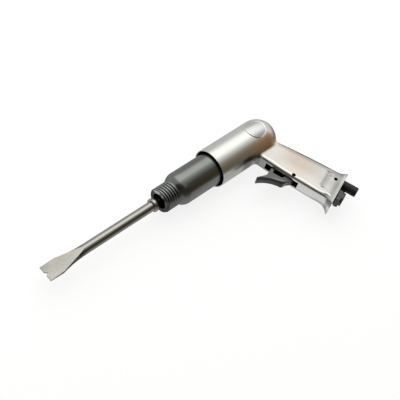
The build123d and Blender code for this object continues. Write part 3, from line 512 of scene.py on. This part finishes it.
# The trigger's ridge colour is a painted highlight
TRIGGER_RIDGE_HIGHLIGHT = rgb(0.19, 0.19, 0.185)
# The barrel's dark stripe is painted shade and its pale one a painted reflection
BARREL_SHADE, BARREL_PALE_REFLECTION = rgb(0.102, 0.108, 0.100), rgb(0.205, 0.208, 0.200)
# Thread crests: worn, and paler towards the top as a painted highlight; the roots are painted shade
THREAD_CREST_WEAR_AND_HIGHLIGHT, THREAD_ROOT_SHADE = rgb(0.34, 0.34, 0.325), rgb(0.022, 0.022, 0.020)
# The nose's face is pale where machined; its dark lower part and its rim are painted shade
NOSE_PALE, NOSE_SHADE, NOSE_RIM_SHADE = rgb(0.44, 0.44, 0.42), rgb(0.11, 0.11, 0.105), rgb(0.05, 0.05, 0.048)
# The mouth's black is painted shade
MOUTH_SHADE = rgb(0.010, 0.010, 0.009)
BLADE_ROUGHNESS, BLADE_MOTTLE_SCALE = 0.42, 620.0


def chisel_surface():
    """Nickelled steel, polished on the rod, satin on the blade, dark on the blade's forged sides, with
    painted shade along the rod and a painted highlight on the flat.
    """
    material = surface("chisel_nickel", (0.290, 0.284, 0.260), (0.278, 0.271, 0.246), 1.0, (0.12, 0.16),
                       grain=1800.0, grain_depth=0.0, edge=(0.50, 0.49, 0.46), edge_share=0.5, rim=0.6)
    tree = material.node_tree
    shader = tree.nodes["Principled BSDF"]
    place = place_of(tree)
    x, y, z = split(tree, place)
    facing = split(tree, normal_of(tree))
    on_blade = ramp(tree, x, -112.0, -100.0, 1.0, 0.0)
    flat = times(tree, on_blade, spread(tree, maths(tree, "ABSOLUTE", facing[2]), 0.90, 0.97))
    side = times(tree, on_blade, spread(tree, maths(tree, "ABSOLUTE", facing[1]), 0.25, 0.60))
    # Flat: paler towards its lower side and its neck as a painted highlight, darker at the front upper
    # corner, mottled all over
    corner = times(tree, ramp(tree, x, -136.0, -146.0), ramp(tree, y, 0.5, 6.0, 0.0, 0.18))
    tone = minus(tree, ramp(tree, y, -8.6, 3.0, 1.09, 0.985), corner)
    tone = plus(tree, tone, ramp(tree, x, -122.0, -108.0, 0.0, 0.08))
    mottle = noise(tree, place, BLADE_MOTTLE_SCALE, 2.0)
    tone = times(tree, tone, spread(tree, mottle, 0.32, 0.68, 0.945, 1.045))
    tint = toned(tree, flat, linked(shader, "Base Color"), tone)
    tint = blend_colour(tree, side, tint, BLADE_SIDE)
    # Rod: two stripes of painted shade along it, above and below its highlight
    lean = maths(tree, "DIVIDE", y, length(tree, y, z))
    upper = times(tree, spread(tree, lean, 0.08, 0.20), spread(tree, lean, 0.45, 0.58, 1.0, 0.0))
    lower = times(tree, spread(tree, lean, -0.25, -0.40), spread(tree, lean, -0.62, -0.72, 1.0, 0.0))
    flanks = times(tree, plus(tree, upper, lower), rest(tree, on_blade))
    # Painted shade along the rod
    tint = blend_colour(tree, flanks, tint, ROD_FLANK_SHADE)
    socket(tree, tint, shader.inputs["Base Color"])
    rough = blend(tree, flat, linked(shader, "Roughness"), BLADE_ROUGHNESS)
    socket(tree, rough, shader.inputs["Roughness"])
    return material


def trigger_surface():
    """Black moulded lever: shiny web with a painted highlight and painted shade along its lower border,
    duller finger face, dull rounded edges.
    """
    material = surface("trigger_black", (0.016, 0.016, 0.016), (0.012, 0.012, 0.012), 0.0, (0.24, 0.32),
                       grain=2600.0, grain_depth=0.0)
    tree = material.node_tree
    shader = tree.nodes["Principled BSDF"]
    facing = normal_of(tree)
    ahead = vector_maths(tree, "DOT_PRODUCT", facing, -BACKWARD)
    back, up = along_axes(tree, place_of(tree), BASE, (BACKWARD, UPWARD))
    shine = times(tree, ramp(tree, up, 46.0, 63.0, 0.40, 0.82), spread(tree, ahead, 0.3, 0.7, 1.0, 0.75))
    # The web's lower border: a pale ridge of painted highlight along it, and painted shade as a less shiny
    # band between it and the finger face
    border = times(tree, minus(tree, 66.5 * MM, up), 0.31)
    bend = maths(tree, "MAXIMUM", minus(tree, up, 70.0 * MM), 0.0)
    border = minus(tree, border, times(tree, bend, 0.2))
    off_border = minus(tree, plus(tree, back, 29.25 * MM), border)
    side = spread(tree, maths(tree, "ABSOLUTE", split(tree, facing)[2]), 0.8, 0.95)
    band = times(tree, side, ramp(tree, off_border, 0.3, -0.5), 0.85)
    shine = times(tree, shine, rest(tree, band))
    ridge = times(tree, side, within(tree, off_border, 0.6, 1.5, 0.5), ramp(tree, up, 70.0, 60.0, 0.0, 0.8),
                  ramp(tree, up, 52.0, 56.0))
    tint = blend_colour(tree, ridge, linked(shader, "Base Color"), TRIGGER_RIDGE_HIGHLIGHT)
    # Edges: duller than the web, and more so towards the tip
    same = vector_maths(tree, "DOT_PRODUCT", rounded_normal(tree, 0.6, 8), facing)
    shine = blend(tree, spread(tree, same, 0.99, 0.86), shine, ramp(tree, up, 70.0, 63.0, 0.12, 0.30))
    socket(tree, tint, shader.inputs["Base Color"])
    socket(tree, shine, shader.inputs["Specular IOR Level"])
    return material


def barrel_surface():
    """Blackened steel: satin cylinder with painted shade and reflection, worn crests on the thread with a
    painted highlight towards the top, black painted shade in its roots, low on the front face and at the
    mouth.
    """
    material = surface("barrel_oxide", (0.152, 0.159, 0.150), (0.142, 0.149, 0.140), 1.0, (0.20, 0.24),
                       grain=2200.0, grain_depth=0.0, edge=(0.30, 0.30, 0.285), edge_share=0.3, rim=0.55)
    tree = material.node_tree
    shader = tree.nodes["Principled BSDF"]
    x, y, z = split(tree, place_of(tree))
    off_axis = length(tree, y, z)
    # Cylinder: a darker stripe of painted shade along its lower half and a paler one of painted reflection
    # beneath it
    lean = maths(tree, "DIVIDE", y, off_axis)
    darker = times(tree, spread(tree, lean, 0.0, -0.12, 0.0, 0.9), spread(tree, lean, -0.41, -0.58, 1.0, 0.0))
    tint = blend_colour(tree, darker, linked(shader, "Base Color"), BARREL_SHADE)
    paler = times(tree, spread(tree, lean, -0.72, -0.80), ramp(tree, x, 9.0, 13.0))
    tint = blend_colour(tree, paler, tint, BARREL_PALE_REFLECTION)
    # Nose: crests of the thread, worn and with a painted highlight towards the top, painted shade in its
    # roots, the front face pale above and painted shade below, painted shade on its lower rim and in the
    # mouth
    on_nose = ramp(tree, x, 8.6, 9.2, 1.0, 0.0)
    crest = times(tree, on_nose, ramp(tree, off_axis, 13.2, 13.55), ramp(tree, z, 7.0, 12.5, 0.15, 0.75))
    tint = blend_colour(tree, crest, tint, THREAD_CREST_WEAR_AND_HIGHLIGHT)
    root = times(tree, on_nose, ramp(tree, off_axis, 12.7, 13.3, 1.0, 0.0),
                 ramp(tree, z, 5.0, 12.0, 0.12, 0.8))
    tint = blend_colour(tree, root, tint, THREAD_ROOT_SHADE)
    front = times(tree, on_nose, spread(tree, split(tree, normal_of(tree))[0], -0.80, -0.95))
    tint = blend_colour(tree, front, tint, blend_colour(tree, ramp(tree, z, 7.0, 1.0), NOSE_PALE, NOSE_SHADE))
    lower_rim = times(tree, ramp(tree, x, -7.0, -5.0, 0.9, 0.0), ramp(tree, z, 9.0, 5.0))
    tint = blend_colour(tree, lower_rim, tint, NOSE_RIM_SHADE)
    mouth = times(tree, on_nose, ramp(tree, off_axis, 8.5, 8.8, 1.0, 0.0))
    tint = blend_colour(tree, mouth, tint, MOUTH_SHADE)
    socket(tree, tint, shader.inputs["Base Color"])
    return material


# CAD nodes that stay, each with its finish
FINISHES = (
    (housing_surface(), ("housing",)),
    (chisel_surface(), ("chisel",)),
    (trigger_surface(), ("trigger",)),
    (knob_finish, ("regulator",)),
    (rubber_finish, ("inlet_seal", "bushing_seal", "throttle_seal", "regulator_seal")),
    (gasket_finish, ("barrel_gasket",)),
    (pin_finish, ("trigger_pin", "regulator_pin")),
    (steel_finish, ("piston", "front_valve_block", "rear_valve_block", "valve_disc", "valve_dowels")),
    (brass_finish, ("throttle_bushing", "throttle_stem", "inlet_screen")),
)
for finish, names in FINISHES:
    for name in names:
        dress(nodes[name], finish)

# Mesh helpers
SLIGHT_TURN = math.radians(12)
CREASE = math.radians(32)


def soften(points, radius, steps=4):
    """An open outline with its corners rounded, each by at most two fifths of the shorter side."""
    points = [Vector(point) for point in points]
    out = [points[0]]
    for before, here, after in zip(points, points[1:], points[2:]):
        a, b = before - here, after - here
        turn = math.pi - a.angle(b)
        if turn < SLIGHT_TURN:
            out.append(here)
            continue
        cut = min(radius * math.tan(turn / 2), 0.4 * a.length, 0.4 * b.length)
        start, end = here + a.normalized() * cut, here + b.normalized() * cut
        for k in range(steps + 1):
            t = k / steps
            out.append(start * (1 - t) ** 2 + here * 2 * t * (1 - t) + end * t**2)
    out.append(points[-1])
    return out


def grid_mesh(name, rings, closed):
    """A mesh of quads from rings of points, in millimetres, of equal count.

    Closed joins the last ring to the first, otherwise both ends get a cap.
    """
    count = len(rings[0])
    faces = []
    last = len(rings) if closed else len(rings) - 1
    for i in range(last):
        j = (i + 1) % len(rings)
        for k in range(count):
            m = (k + 1) % count
            faces.append((i * count + k, i * count + m, j * count + m, j * count + k))
    if not closed:
        faces.append(tuple(reversed(range(count))))
        faces.append(tuple(range(last * count, (last + 1) * count)))
    mesh = bpy.data.meshes.new(name)
    mesh.from_pydata([point * MM for ring in rings for point in ring], [], faces)
    mesh.validate()
    mesh.shade_smooth()
    mesh.set_sharp_from_angle(angle=CREASE)
    piece = bpy.data.objects.new(name, mesh)
    scene.collection.objects.link(piece)
    return piece


def circle(count):
    """Angles of a number of points around a circle."""
    return [2 * math.pi * k / count for k in range(count)]


def thread(turns, crest, root):
    """Depth share of a V thread at a number of turns: 0 on the crest, 1 in the root."""
    t = abs((turns % 1.0) * 2 - 1)
    return min(1.0, max(0.0, (t - crest) / (1 - crest - root)))


# Barrel with its threaded nose, turned in one piece, in millimetres
NOSE_FRONT, NOSE_END, NOSE_RADIUS, NOSE_CHAMFER = -8.2, 8.2, 13.6, 1.0
MOUTH_RADIUS, SEAT_RADIUS, NOSE_SEAT, GUIDE_RADIUS = 8.6, 7.8, -1.2, 5.14
RELIEF_RADIUS, SHOULDER_START, SHOULDER_RADIUS, SHOULDER_STEPS = 12.7, 9.9, 12.5, 24
BARREL_RADIUS, BORE_RADIUS, BORE_FRONT, BARREL_CHAMFER = 17.8, 9.5, 20.8, 1.0
BARREL_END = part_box("barrel")[1][0] / MM
SHOULDER_AXIS = BARREL_RADIUS - SHOULDER_RADIUS
SHOULDER_TURN = math.acos((RELIEF_RADIUS - SHOULDER_AXIS) / SHOULDER_RADIUS)
SHOULDER_END = SHOULDER_START + SHOULDER_RADIUS * math.sin(SHOULDER_TURN)
RELIEF_START, RELIEF_END, FILLET_RISE = NOSE_END + 0.7, SHOULDER_START - 0.2, 0.12
BARREL_STATIONS = (30.0, 61.0, 90.0, 100.0)
BORE_ROUNDING, REAR_ROUNDING, BORE_EDGE = 0.35, 0.3, 0.2
THREAD_PITCH, THREAD_DEPTH, THREAD_CREST_SHARE, THREAD_ROOT_SHARE = 3.0, 1.15, 0.18, 0.22
THREAD_END, THREAD_STEPS = NOSE_END + 0.55, 150
COLUMNS = 144


def around_barrel(x, radius_at):
    return [Vector((x, radius_at(a) * math.cos(a), radius_at(a) * math.sin(a))) for a in circle(COLUMNS)]


def nose_limit(x):
    """Largest radius of the nose: its chamfer in front, its full radius, and a slope into the relief."""
    slope = max(RELIEF_RADIUS, NOSE_RADIUS - (x - NOSE_END) * 2)
    return min(NOSE_RADIUS, NOSE_RADIUS - NOSE_CHAMFER + (x - NOSE_FRONT), slope)


def nose_radius(x, a):
    cut = THREAD_DEPTH * thread(x / THREAD_PITCH - a / (2 * math.pi), THREAD_CREST_SHARE, THREAD_ROOT_SHARE)
    return min(nose_limit(x), NOSE_RADIUS - cut)


def barrel_rings():
    """The bore from the rear to the nose's front, the thread, and the outside back to the rear."""
    inner = soften([(BARREL_END, BORE_RADIUS), (BORE_FRONT, BORE_RADIUS),
                    (BORE_FRONT - BORE_RADIUS + GUIDE_RADIUS, GUIDE_RADIUS), (NOSE_SEAT, GUIDE_RADIUS),
                    (NOSE_SEAT, SEAT_RADIUS), (NOSE_FRONT, MOUTH_RADIUS),
                    (NOSE_FRONT, NOSE_RADIUS - NOSE_CHAMFER)], BORE_ROUNDING)
    outer = [(RELIEF_START, RELIEF_RADIUS), (RELIEF_END, RELIEF_RADIUS),
             (SHOULDER_START, RELIEF_RADIUS + FILLET_RISE)]
    for k in range(1, SHOULDER_STEPS + 1):
        a = SHOULDER_TURN * (1 - k / SHOULDER_STEPS)
        x = SHOULDER_END - SHOULDER_RADIUS * math.sin(a)
        outer.append((x, SHOULDER_AXIS + SHOULDER_RADIUS * math.cos(a)))
    outer += [(x, BARREL_RADIUS) for x in BARREL_STATIONS[:-1]]
    outer += soften([(BARREL_STATIONS[-1], BARREL_RADIUS), (BARREL_END - BARREL_CHAMFER, BARREL_RADIUS),
                     (BARREL_END, BARREL_RADIUS - BARREL_CHAMFER), (BARREL_END, BORE_RADIUS + BORE_EDGE)],
                    REAR_ROUNDING)
    rings = [around_barrel(x, lambda a, r=r: r) for x, r in inner]
    for i in range(1, THREAD_STEPS + 1):
        x = NOSE_FRONT + (THREAD_END - NOSE_FRONT) * i / THREAD_STEPS
        rings.append(around_barrel(x, lambda a, x=x: nose_radius(x, a)))
    rings += [around_barrel(x, lambda a, r=r: r) for x, r in outer]
    return rings


barrel = grid_mesh("barrel_threaded", barrel_rings(), True)
dress(barrel, barrel_surface())
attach(barrel, "tool")
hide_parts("barrel")

# Inlet bushing: hexagon, collar and pipe thread in the bore, in millimetres up from the grip's base
INLET_AHEAD = 5.2
INLET = BASE - INLET_AHEAD * BACKWARD
INLET_FACE, HEX_END, SEAL, SPIGOT_TOP = -8.4, -6.0, -1.2, 10.2
HEX_FLATS, HEX_TURN = 18.2, math.radians(20)
HEX_CORNER = HEX_FLATS / math.sqrt(3)
COLLAR_RADIUS, COLLAR_ROUNDING, FACE_RADIUS, SPIGOT_RADIUS, SPIGOT_BORE = 7.3, 0.4, 6.45, 6.9, 6.3
PIPE_RADIUS, PIPE_DEPTH, PIPE_PITCH, PIPE_CHAMFER, PIPE_STEPS = 5.6, 0.75, 1.411, 0.8, 150
PIPE_CREST_SHARE, PIPE_ROOT_SHARE = 0.1, 0.12
# The hexagon's rounded lower end and its upper end: height above each, and how far the corners are cut back
HEX_LOWER = ((0.0, 1.25), (0.15, 0.95), (0.35, 0.55), (0.6, 0.05), (0.7, 0.0))
HEX_UPPER = ((-0.3, 0.0), (0.0, 0.2))
INLET_SIDES = 72


def around_inlet(up, radius_at):
    ring = []
    for turn in circle(INLET_SIDES):
        a = HEX_TURN + turn
        ring.append(INLET + UPWARD * up + (BACKWARD * math.cos(a) + SIDEWARD * math.sin(a)) * radius_at(a))
    return ring


def hexagon(a, limit):
    """Radius of the hexagon at an angle, with its corners cut back to a limit."""
    off_flat = (a - HEX_TURN) % math.radians(60) - math.radians(30)
    return min(limit, HEX_FLATS / 2 / math.cos(off_flat))


def pipe_radius(up, a):
    chamfer = PIPE_RADIUS + max(0.0, INLET_FACE + PIPE_CHAMFER - up)
    cut = PIPE_DEPTH * thread(up / PIPE_PITCH - a / (2 * math.pi), PIPE_CREST_SHARE, PIPE_ROOT_SHARE)
    return max(chamfer, PIPE_RADIUS + cut)


def inlet_rings():
    """The collar, the hexagon, the spigot inside the grip, and the thread back down to the face."""
    collar = [(INLET_FACE, FACE_RADIUS), (INLET_FACE, COLLAR_RADIUS), (HEX_END, COLLAR_RADIUS)]
    collar = soften(collar, COLLAR_ROUNDING)
    rings = [around_inlet(up, lambda a, r=r: r) for up, r in collar]
    head = [(HEX_END + up, HEX_CORNER - cut) for up, cut in HEX_LOWER]
    head += [(SEAL + up, HEX_CORNER - cut) for up, cut in HEX_UPPER]
    rings += [around_inlet(up, lambda a, limit=limit: hexagon(a, limit)) for up, limit in head]
    spigot = ((SEAL, SPIGOT_RADIUS), (SPIGOT_TOP, SPIGOT_RADIUS), (SPIGOT_TOP, SPIGOT_BORE))
    rings += [around_inlet(up, lambda a, r=r: r) for up, r in spigot]
    for i in range(PIPE_STEPS + 1):
        up = SPIGOT_TOP + (INLET_FACE - SPIGOT_TOP) * i / PIPE_STEPS
        rings.append(around_inlet(up, lambda a, up=up: pipe_radius(up, a)))
    return rings


inlet = grid_mesh("inlet_bushing_threaded", inlet_rings(), True)
dress(inlet, fitting_finish)
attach(inlet, "tool")
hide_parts("inlet_bushing")

# Return spring of the throttle: a coil with closed ends
SPRING_LENGTH, SPRING_RADIUS, SPRING_WIRE, SPRING_TURNS = 7.95, 2.7, 0.28, 6
SPRING_STEPS, WIRE_SIDES = 32, 10
spring_low, spring_high = (Vector(corner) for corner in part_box("throttle_spring"))
SPRING_START = (spring_low + spring_high) / 2 / MM - SPRING_LENGTH / 2 * BACKWARD


def spring_rise(turn):
    """Height of the wire's middle after some turns. The first and the last turn rise by one wire's width."""
    width = 2 * SPRING_WIRE
    ends = min(turn, 1.0) + max(turn - (SPRING_TURNS - 1), 0.0)
    pitch = (SPRING_LENGTH - 3 * width) / (SPRING_TURNS - 2)
    return width / 2 + width * ends + pitch * min(max(turn - 1, 0.0), SPRING_TURNS - 2)


def spring_rings():
    rings = []
    for i in range(SPRING_TURNS * SPRING_STEPS + 1):
        turn = i / SPRING_STEPS
        a = 2 * math.pi * turn
        outward = UPWARD * math.cos(a) + SIDEWARD * math.sin(a)
        onward = UPWARD * -math.sin(a) + SIDEWARD * math.cos(a)
        beside = onward.cross(outward)
        middle = SPRING_START + BACKWARD * spring_rise(turn) + outward * SPRING_RADIUS
        rings.append([middle + (outward * math.cos(b) + beside * math.sin(b)) * SPRING_WIRE
                      for b in circle(WIRE_SIDES)])
    return rings


spring = grid_mesh("throttle_spring_coil", spring_rings(), False)
dress(spring, spring_finish)
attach(spring, "tool")
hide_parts("throttle_spring")
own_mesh(spring)

# White floor, a soft ceiling light, a pale far side and a dark near side of the room, in metres
FLOOR = -SLEEVE_RADIUS * MM
FLOOR_RADIUS, FLOOR_SIDES = 8, 48
FLOOR_TONE, FLOOR_LIFT, FLOOR_SHINE, SHINE_REACH = 0.18, 0.83, 0.72, 65.0 * MM
MIDDLE = Vector((0.08, -0.02, 0))
LAMP_HEIGHT, LAMP_GLOW = 1.5, 2.35
LAMP_LOW, LAMP_HIGH = (-0.65 * LAMP_HEIGHT, -0.35 * LAMP_HEIGHT), (1.8 * LAMP_HEIGHT, 3.05 * LAMP_HEIGHT)
ROOM_RADIUS, ROOM_STEP, ROOM_FADE, ROOM_ROWS = 1.45, 6, 18, 7
# The dark side: bearing about Z, height of its top above the floor, how far that edge fades, and its tone
ROOM = (
    (150, 25, 8, (0.12, 0.116, 0.10)),
    (162, 48, 8, (0.12, 0.116, 0.10)),
    (185, 67, 8, (0.12, 0.116, 0.10)),
    (215, 66, 8, (0.12, 0.116, 0.10)),
    (250, 58, 12, (0.13, 0.122, 0.10)),
    (290, 55, 12, (0.14, 0.128, 0.09)),
    (302, 54, 12, (0.16, 0.142, 0.095)),
    (308, 55, 12, (0.24, 0.19, 0.115)),
    (313, 57, 11, (0.30, 0.225, 0.135)),
    (319, 58, 10, (0.37, 0.265, 0.16)),
    (328, 56, 10, (0.36, 0.26, 0.165)),
    (336, 40, 10, (0.34, 0.27, 0.19)),
    (342, 26, 8, (0.36, 0.29, 0.20)),
    (352, 12, 8, (0.36, 0.30, 0.22)),
)


def stage_mesh(name, verts, faces, material):
    mesh = bpy.data.meshes.new(name)
    mesh.from_pydata([Vector(v) for v in verts], [], faces)
    mesh.shade_smooth()
    piece = bpy.data.objects.new(name, mesh)
    scene.collection.objects.link(piece)
    piece.data.materials.append(material)
    return piece


def floor_surface():
    """Matt white paper that reads as white where it isn't shadowed, and mirrors darker far from the tool."""
    material, tree, shader = new_material("floor_white")
    place = place_of(tree)
    x, y = split(tree, place)[:2]
    back = along_axes(tree, place, BASE, (BACKWARD,))[0]
    # How far away: in the corner before the barrel and ahead of the grip, or behind the tool
    before = minus(tree, times(tree, y, -1.0), ramp(tree, x, -20.0, 60.0, 0.0, 35.0 * MM))
    ahead = minus(tree, times(tree, back, -1.0), 18.0 * MM)
    behind = maths(tree, "MAXIMUM", minus(tree, x, 150.0 * MM), minus(tree, back, 18.0 * MM))
    behind = times(tree, maths(tree, "MINIMUM", behind, minus(tree, 40.0 * MM, y)), 3.0)
    away = maths(tree, "MAXIMUM", maths(tree, "MINIMUM", before, ahead), behind)
    away = maths(tree, "MAXIMUM", away, 0.0)
    near = maths(tree, "POWER", math.e, maths(tree, "DIVIDE", away, -SHINE_REACH))
    path = add(tree, "ShaderNodeLightPath").outputs
    mirrored = plus(tree, path["Is Glossy Ray"], path["Is Transmission Ray"])
    shine = times(tree, mirrored, plus(tree, times(tree, near, FLOOR_SHINE), FLOOR_LIFT - FLOOR_SHINE))
    lift = plus(tree, times(tree, path["Is Camera Ray"], FLOOR_LIFT), shine)
    shader.inputs["Base Color"].default_value = grey(FLOOR_TONE)
    shader.inputs["Roughness"].default_value = 0.9
    shader.inputs["Specular IOR Level"].default_value = 0.0
    shader.inputs["Emission Color"].default_value = grey(1.0)
    socket(tree, lift, shader.inputs["Emission Strength"])
    return material


def glow(name, colour, strength):
    """A glowing sheet and its tree, with the socket that says how much of it shows."""
    material, tree, shader = new_material(name)
    tree.nodes.remove(shader)
    light = add(tree, "ShaderNodeEmission", None, Color=colour, Strength=strength).outputs[0]
    clear = add(tree, "ShaderNodeBsdfTransparent").outputs[0]
    mixed = add(tree, "ShaderNodeMixShader", None, _1=clear, _2=light)
    tree.links.new(mixed.outputs[0], tree.nodes["Material Output"].inputs["Surface"])
    return material, tree, mixed.inputs[0]


def lamp_surface():
    """A ceiling light whose edges fade out over different widths."""
    material, tree, share = glow("ceiling_glow", rgb(1.0, 1.0, 0.99), LAMP_GLOW)
    x, y = split(tree, place_of(tree))[:2]
    # Each edge: where the light is gone and where it is full, in heights of the lamp
    edges = ((x, -0.60, -0.25), (x, 1.75, 0.95), (y, -0.20, 0.22), (y, 3.0, 0.9))
    fades = [spread(tree, value, outer * LAMP_HEIGHT, inner * LAMP_HEIGHT) for value, outer, inner in edges]
    socket(tree, times(tree, *fades), share)
    return material


def room_at(bearing):
    """Top, fade and tone of the dark side at a bearing."""
    for (a, *low), (b, *high) in zip(ROOM, ROOM[1:]):
        if a <= bearing <= b:
            t = (bearing - a) / (b - a)
            tone = Vector(low[2]).lerp(Vector(high[2]), t)
            return low[0] + (high[0] - low[0]) * t, low[1] + (high[1] - low[1]) * t, tone


def room_point(bearing, height):
    a, e = math.radians(bearing), math.radians(height)
    return MIDDLE + ROOM_RADIUS * Vector((math.cos(a) * math.cos(e), math.sin(a) * math.cos(e), math.sin(e)))


def room_side():
    """The dark side of the room, a curved sheet with soft edges."""
    material, tree, share = glow("room_brown", grey(1.0), 1.0)
    material.cycles.emission_sampling = "NONE"
    mark = add(tree, "ShaderNodeAttribute", {"attribute_name": "tone"}).outputs
    socket(tree, mark["Alpha"], share)
    socket(tree, mark["Color"], tree.nodes["Emission"].inputs["Color"])
    first, last = ROOM[0][0], ROOM[-1][0]
    bearings = range(first, last + 1, ROOM_STEP)
    verts, tones, faces = [], [], []
    for bearing in bearings:
        top, fade, tone = room_at(bearing)
        ends = min(1.0, (bearing - first) / ROOM_FADE, (last - bearing) / ROOM_FADE)
        # Rows up the sheet: height in degrees, and how much of the sheet shows there
        rows = ((-6, 1), (0.45 * top, 1), (top - fade, 1), (top - fade / 2, 0.84), (top, 0.5),
                (top + fade / 2, 0.16), (top + fade, 0))
        for height, kept in rows:
            verts.append(room_point(bearing, height))
            tones += [*tone, kept * ends]
    for i in range(0, len(verts) - ROOM_ROWS, ROOM_ROWS):
        for k in range(i, i + ROOM_ROWS - 1):
            faces.append((k, k + ROOM_ROWS, k + ROOM_ROWS + 1, k + 1))
    side = stage_mesh("room_side", verts, faces, material)
    side.data.attributes.new("tone", "FLOAT_COLOR", "POINT").data.foreach_set("color", tones)
    side.visible_camera = False


floor_ring = [(FLOOR_RADIUS * math.cos(a), FLOOR_RADIUS * math.sin(a), FLOOR) for a in circle(FLOOR_SIDES)]
stage_mesh("floor", floor_ring, [tuple(range(FLOOR_SIDES))], floor_surface())
lamp_corners = [(x, y, 0) for x in (LAMP_LOW[0], LAMP_HIGH[0]) for y in (LAMP_LOW[1], LAMP_HIGH[1])]
lamp = stage_mesh("ceiling_light", lamp_corners, [(0, 1, 3, 2)], lamp_surface())
lamp.location = MIDDLE + Vector((0, 0, LAMP_HEIGHT))
lamp.visible_camera = False
room_side()

# World: white, brighter on the tool's rear side
world = bpy.data.worlds.new("studio")
scene.world = world
world.use_nodes = True
sky = world.node_tree
background = sky.nodes["Background"]
toward = split(sky, add(sky, "ShaderNodeTexCoord").outputs["Generated"])[0]
socket(sky, spread(sky, toward, 0.55, 0.90, 0.92, 1.25), background.inputs["Strength"])
background.inputs["Color"].default_value = grey(1.0)

scene.view_settings.view_transform = "Standard"
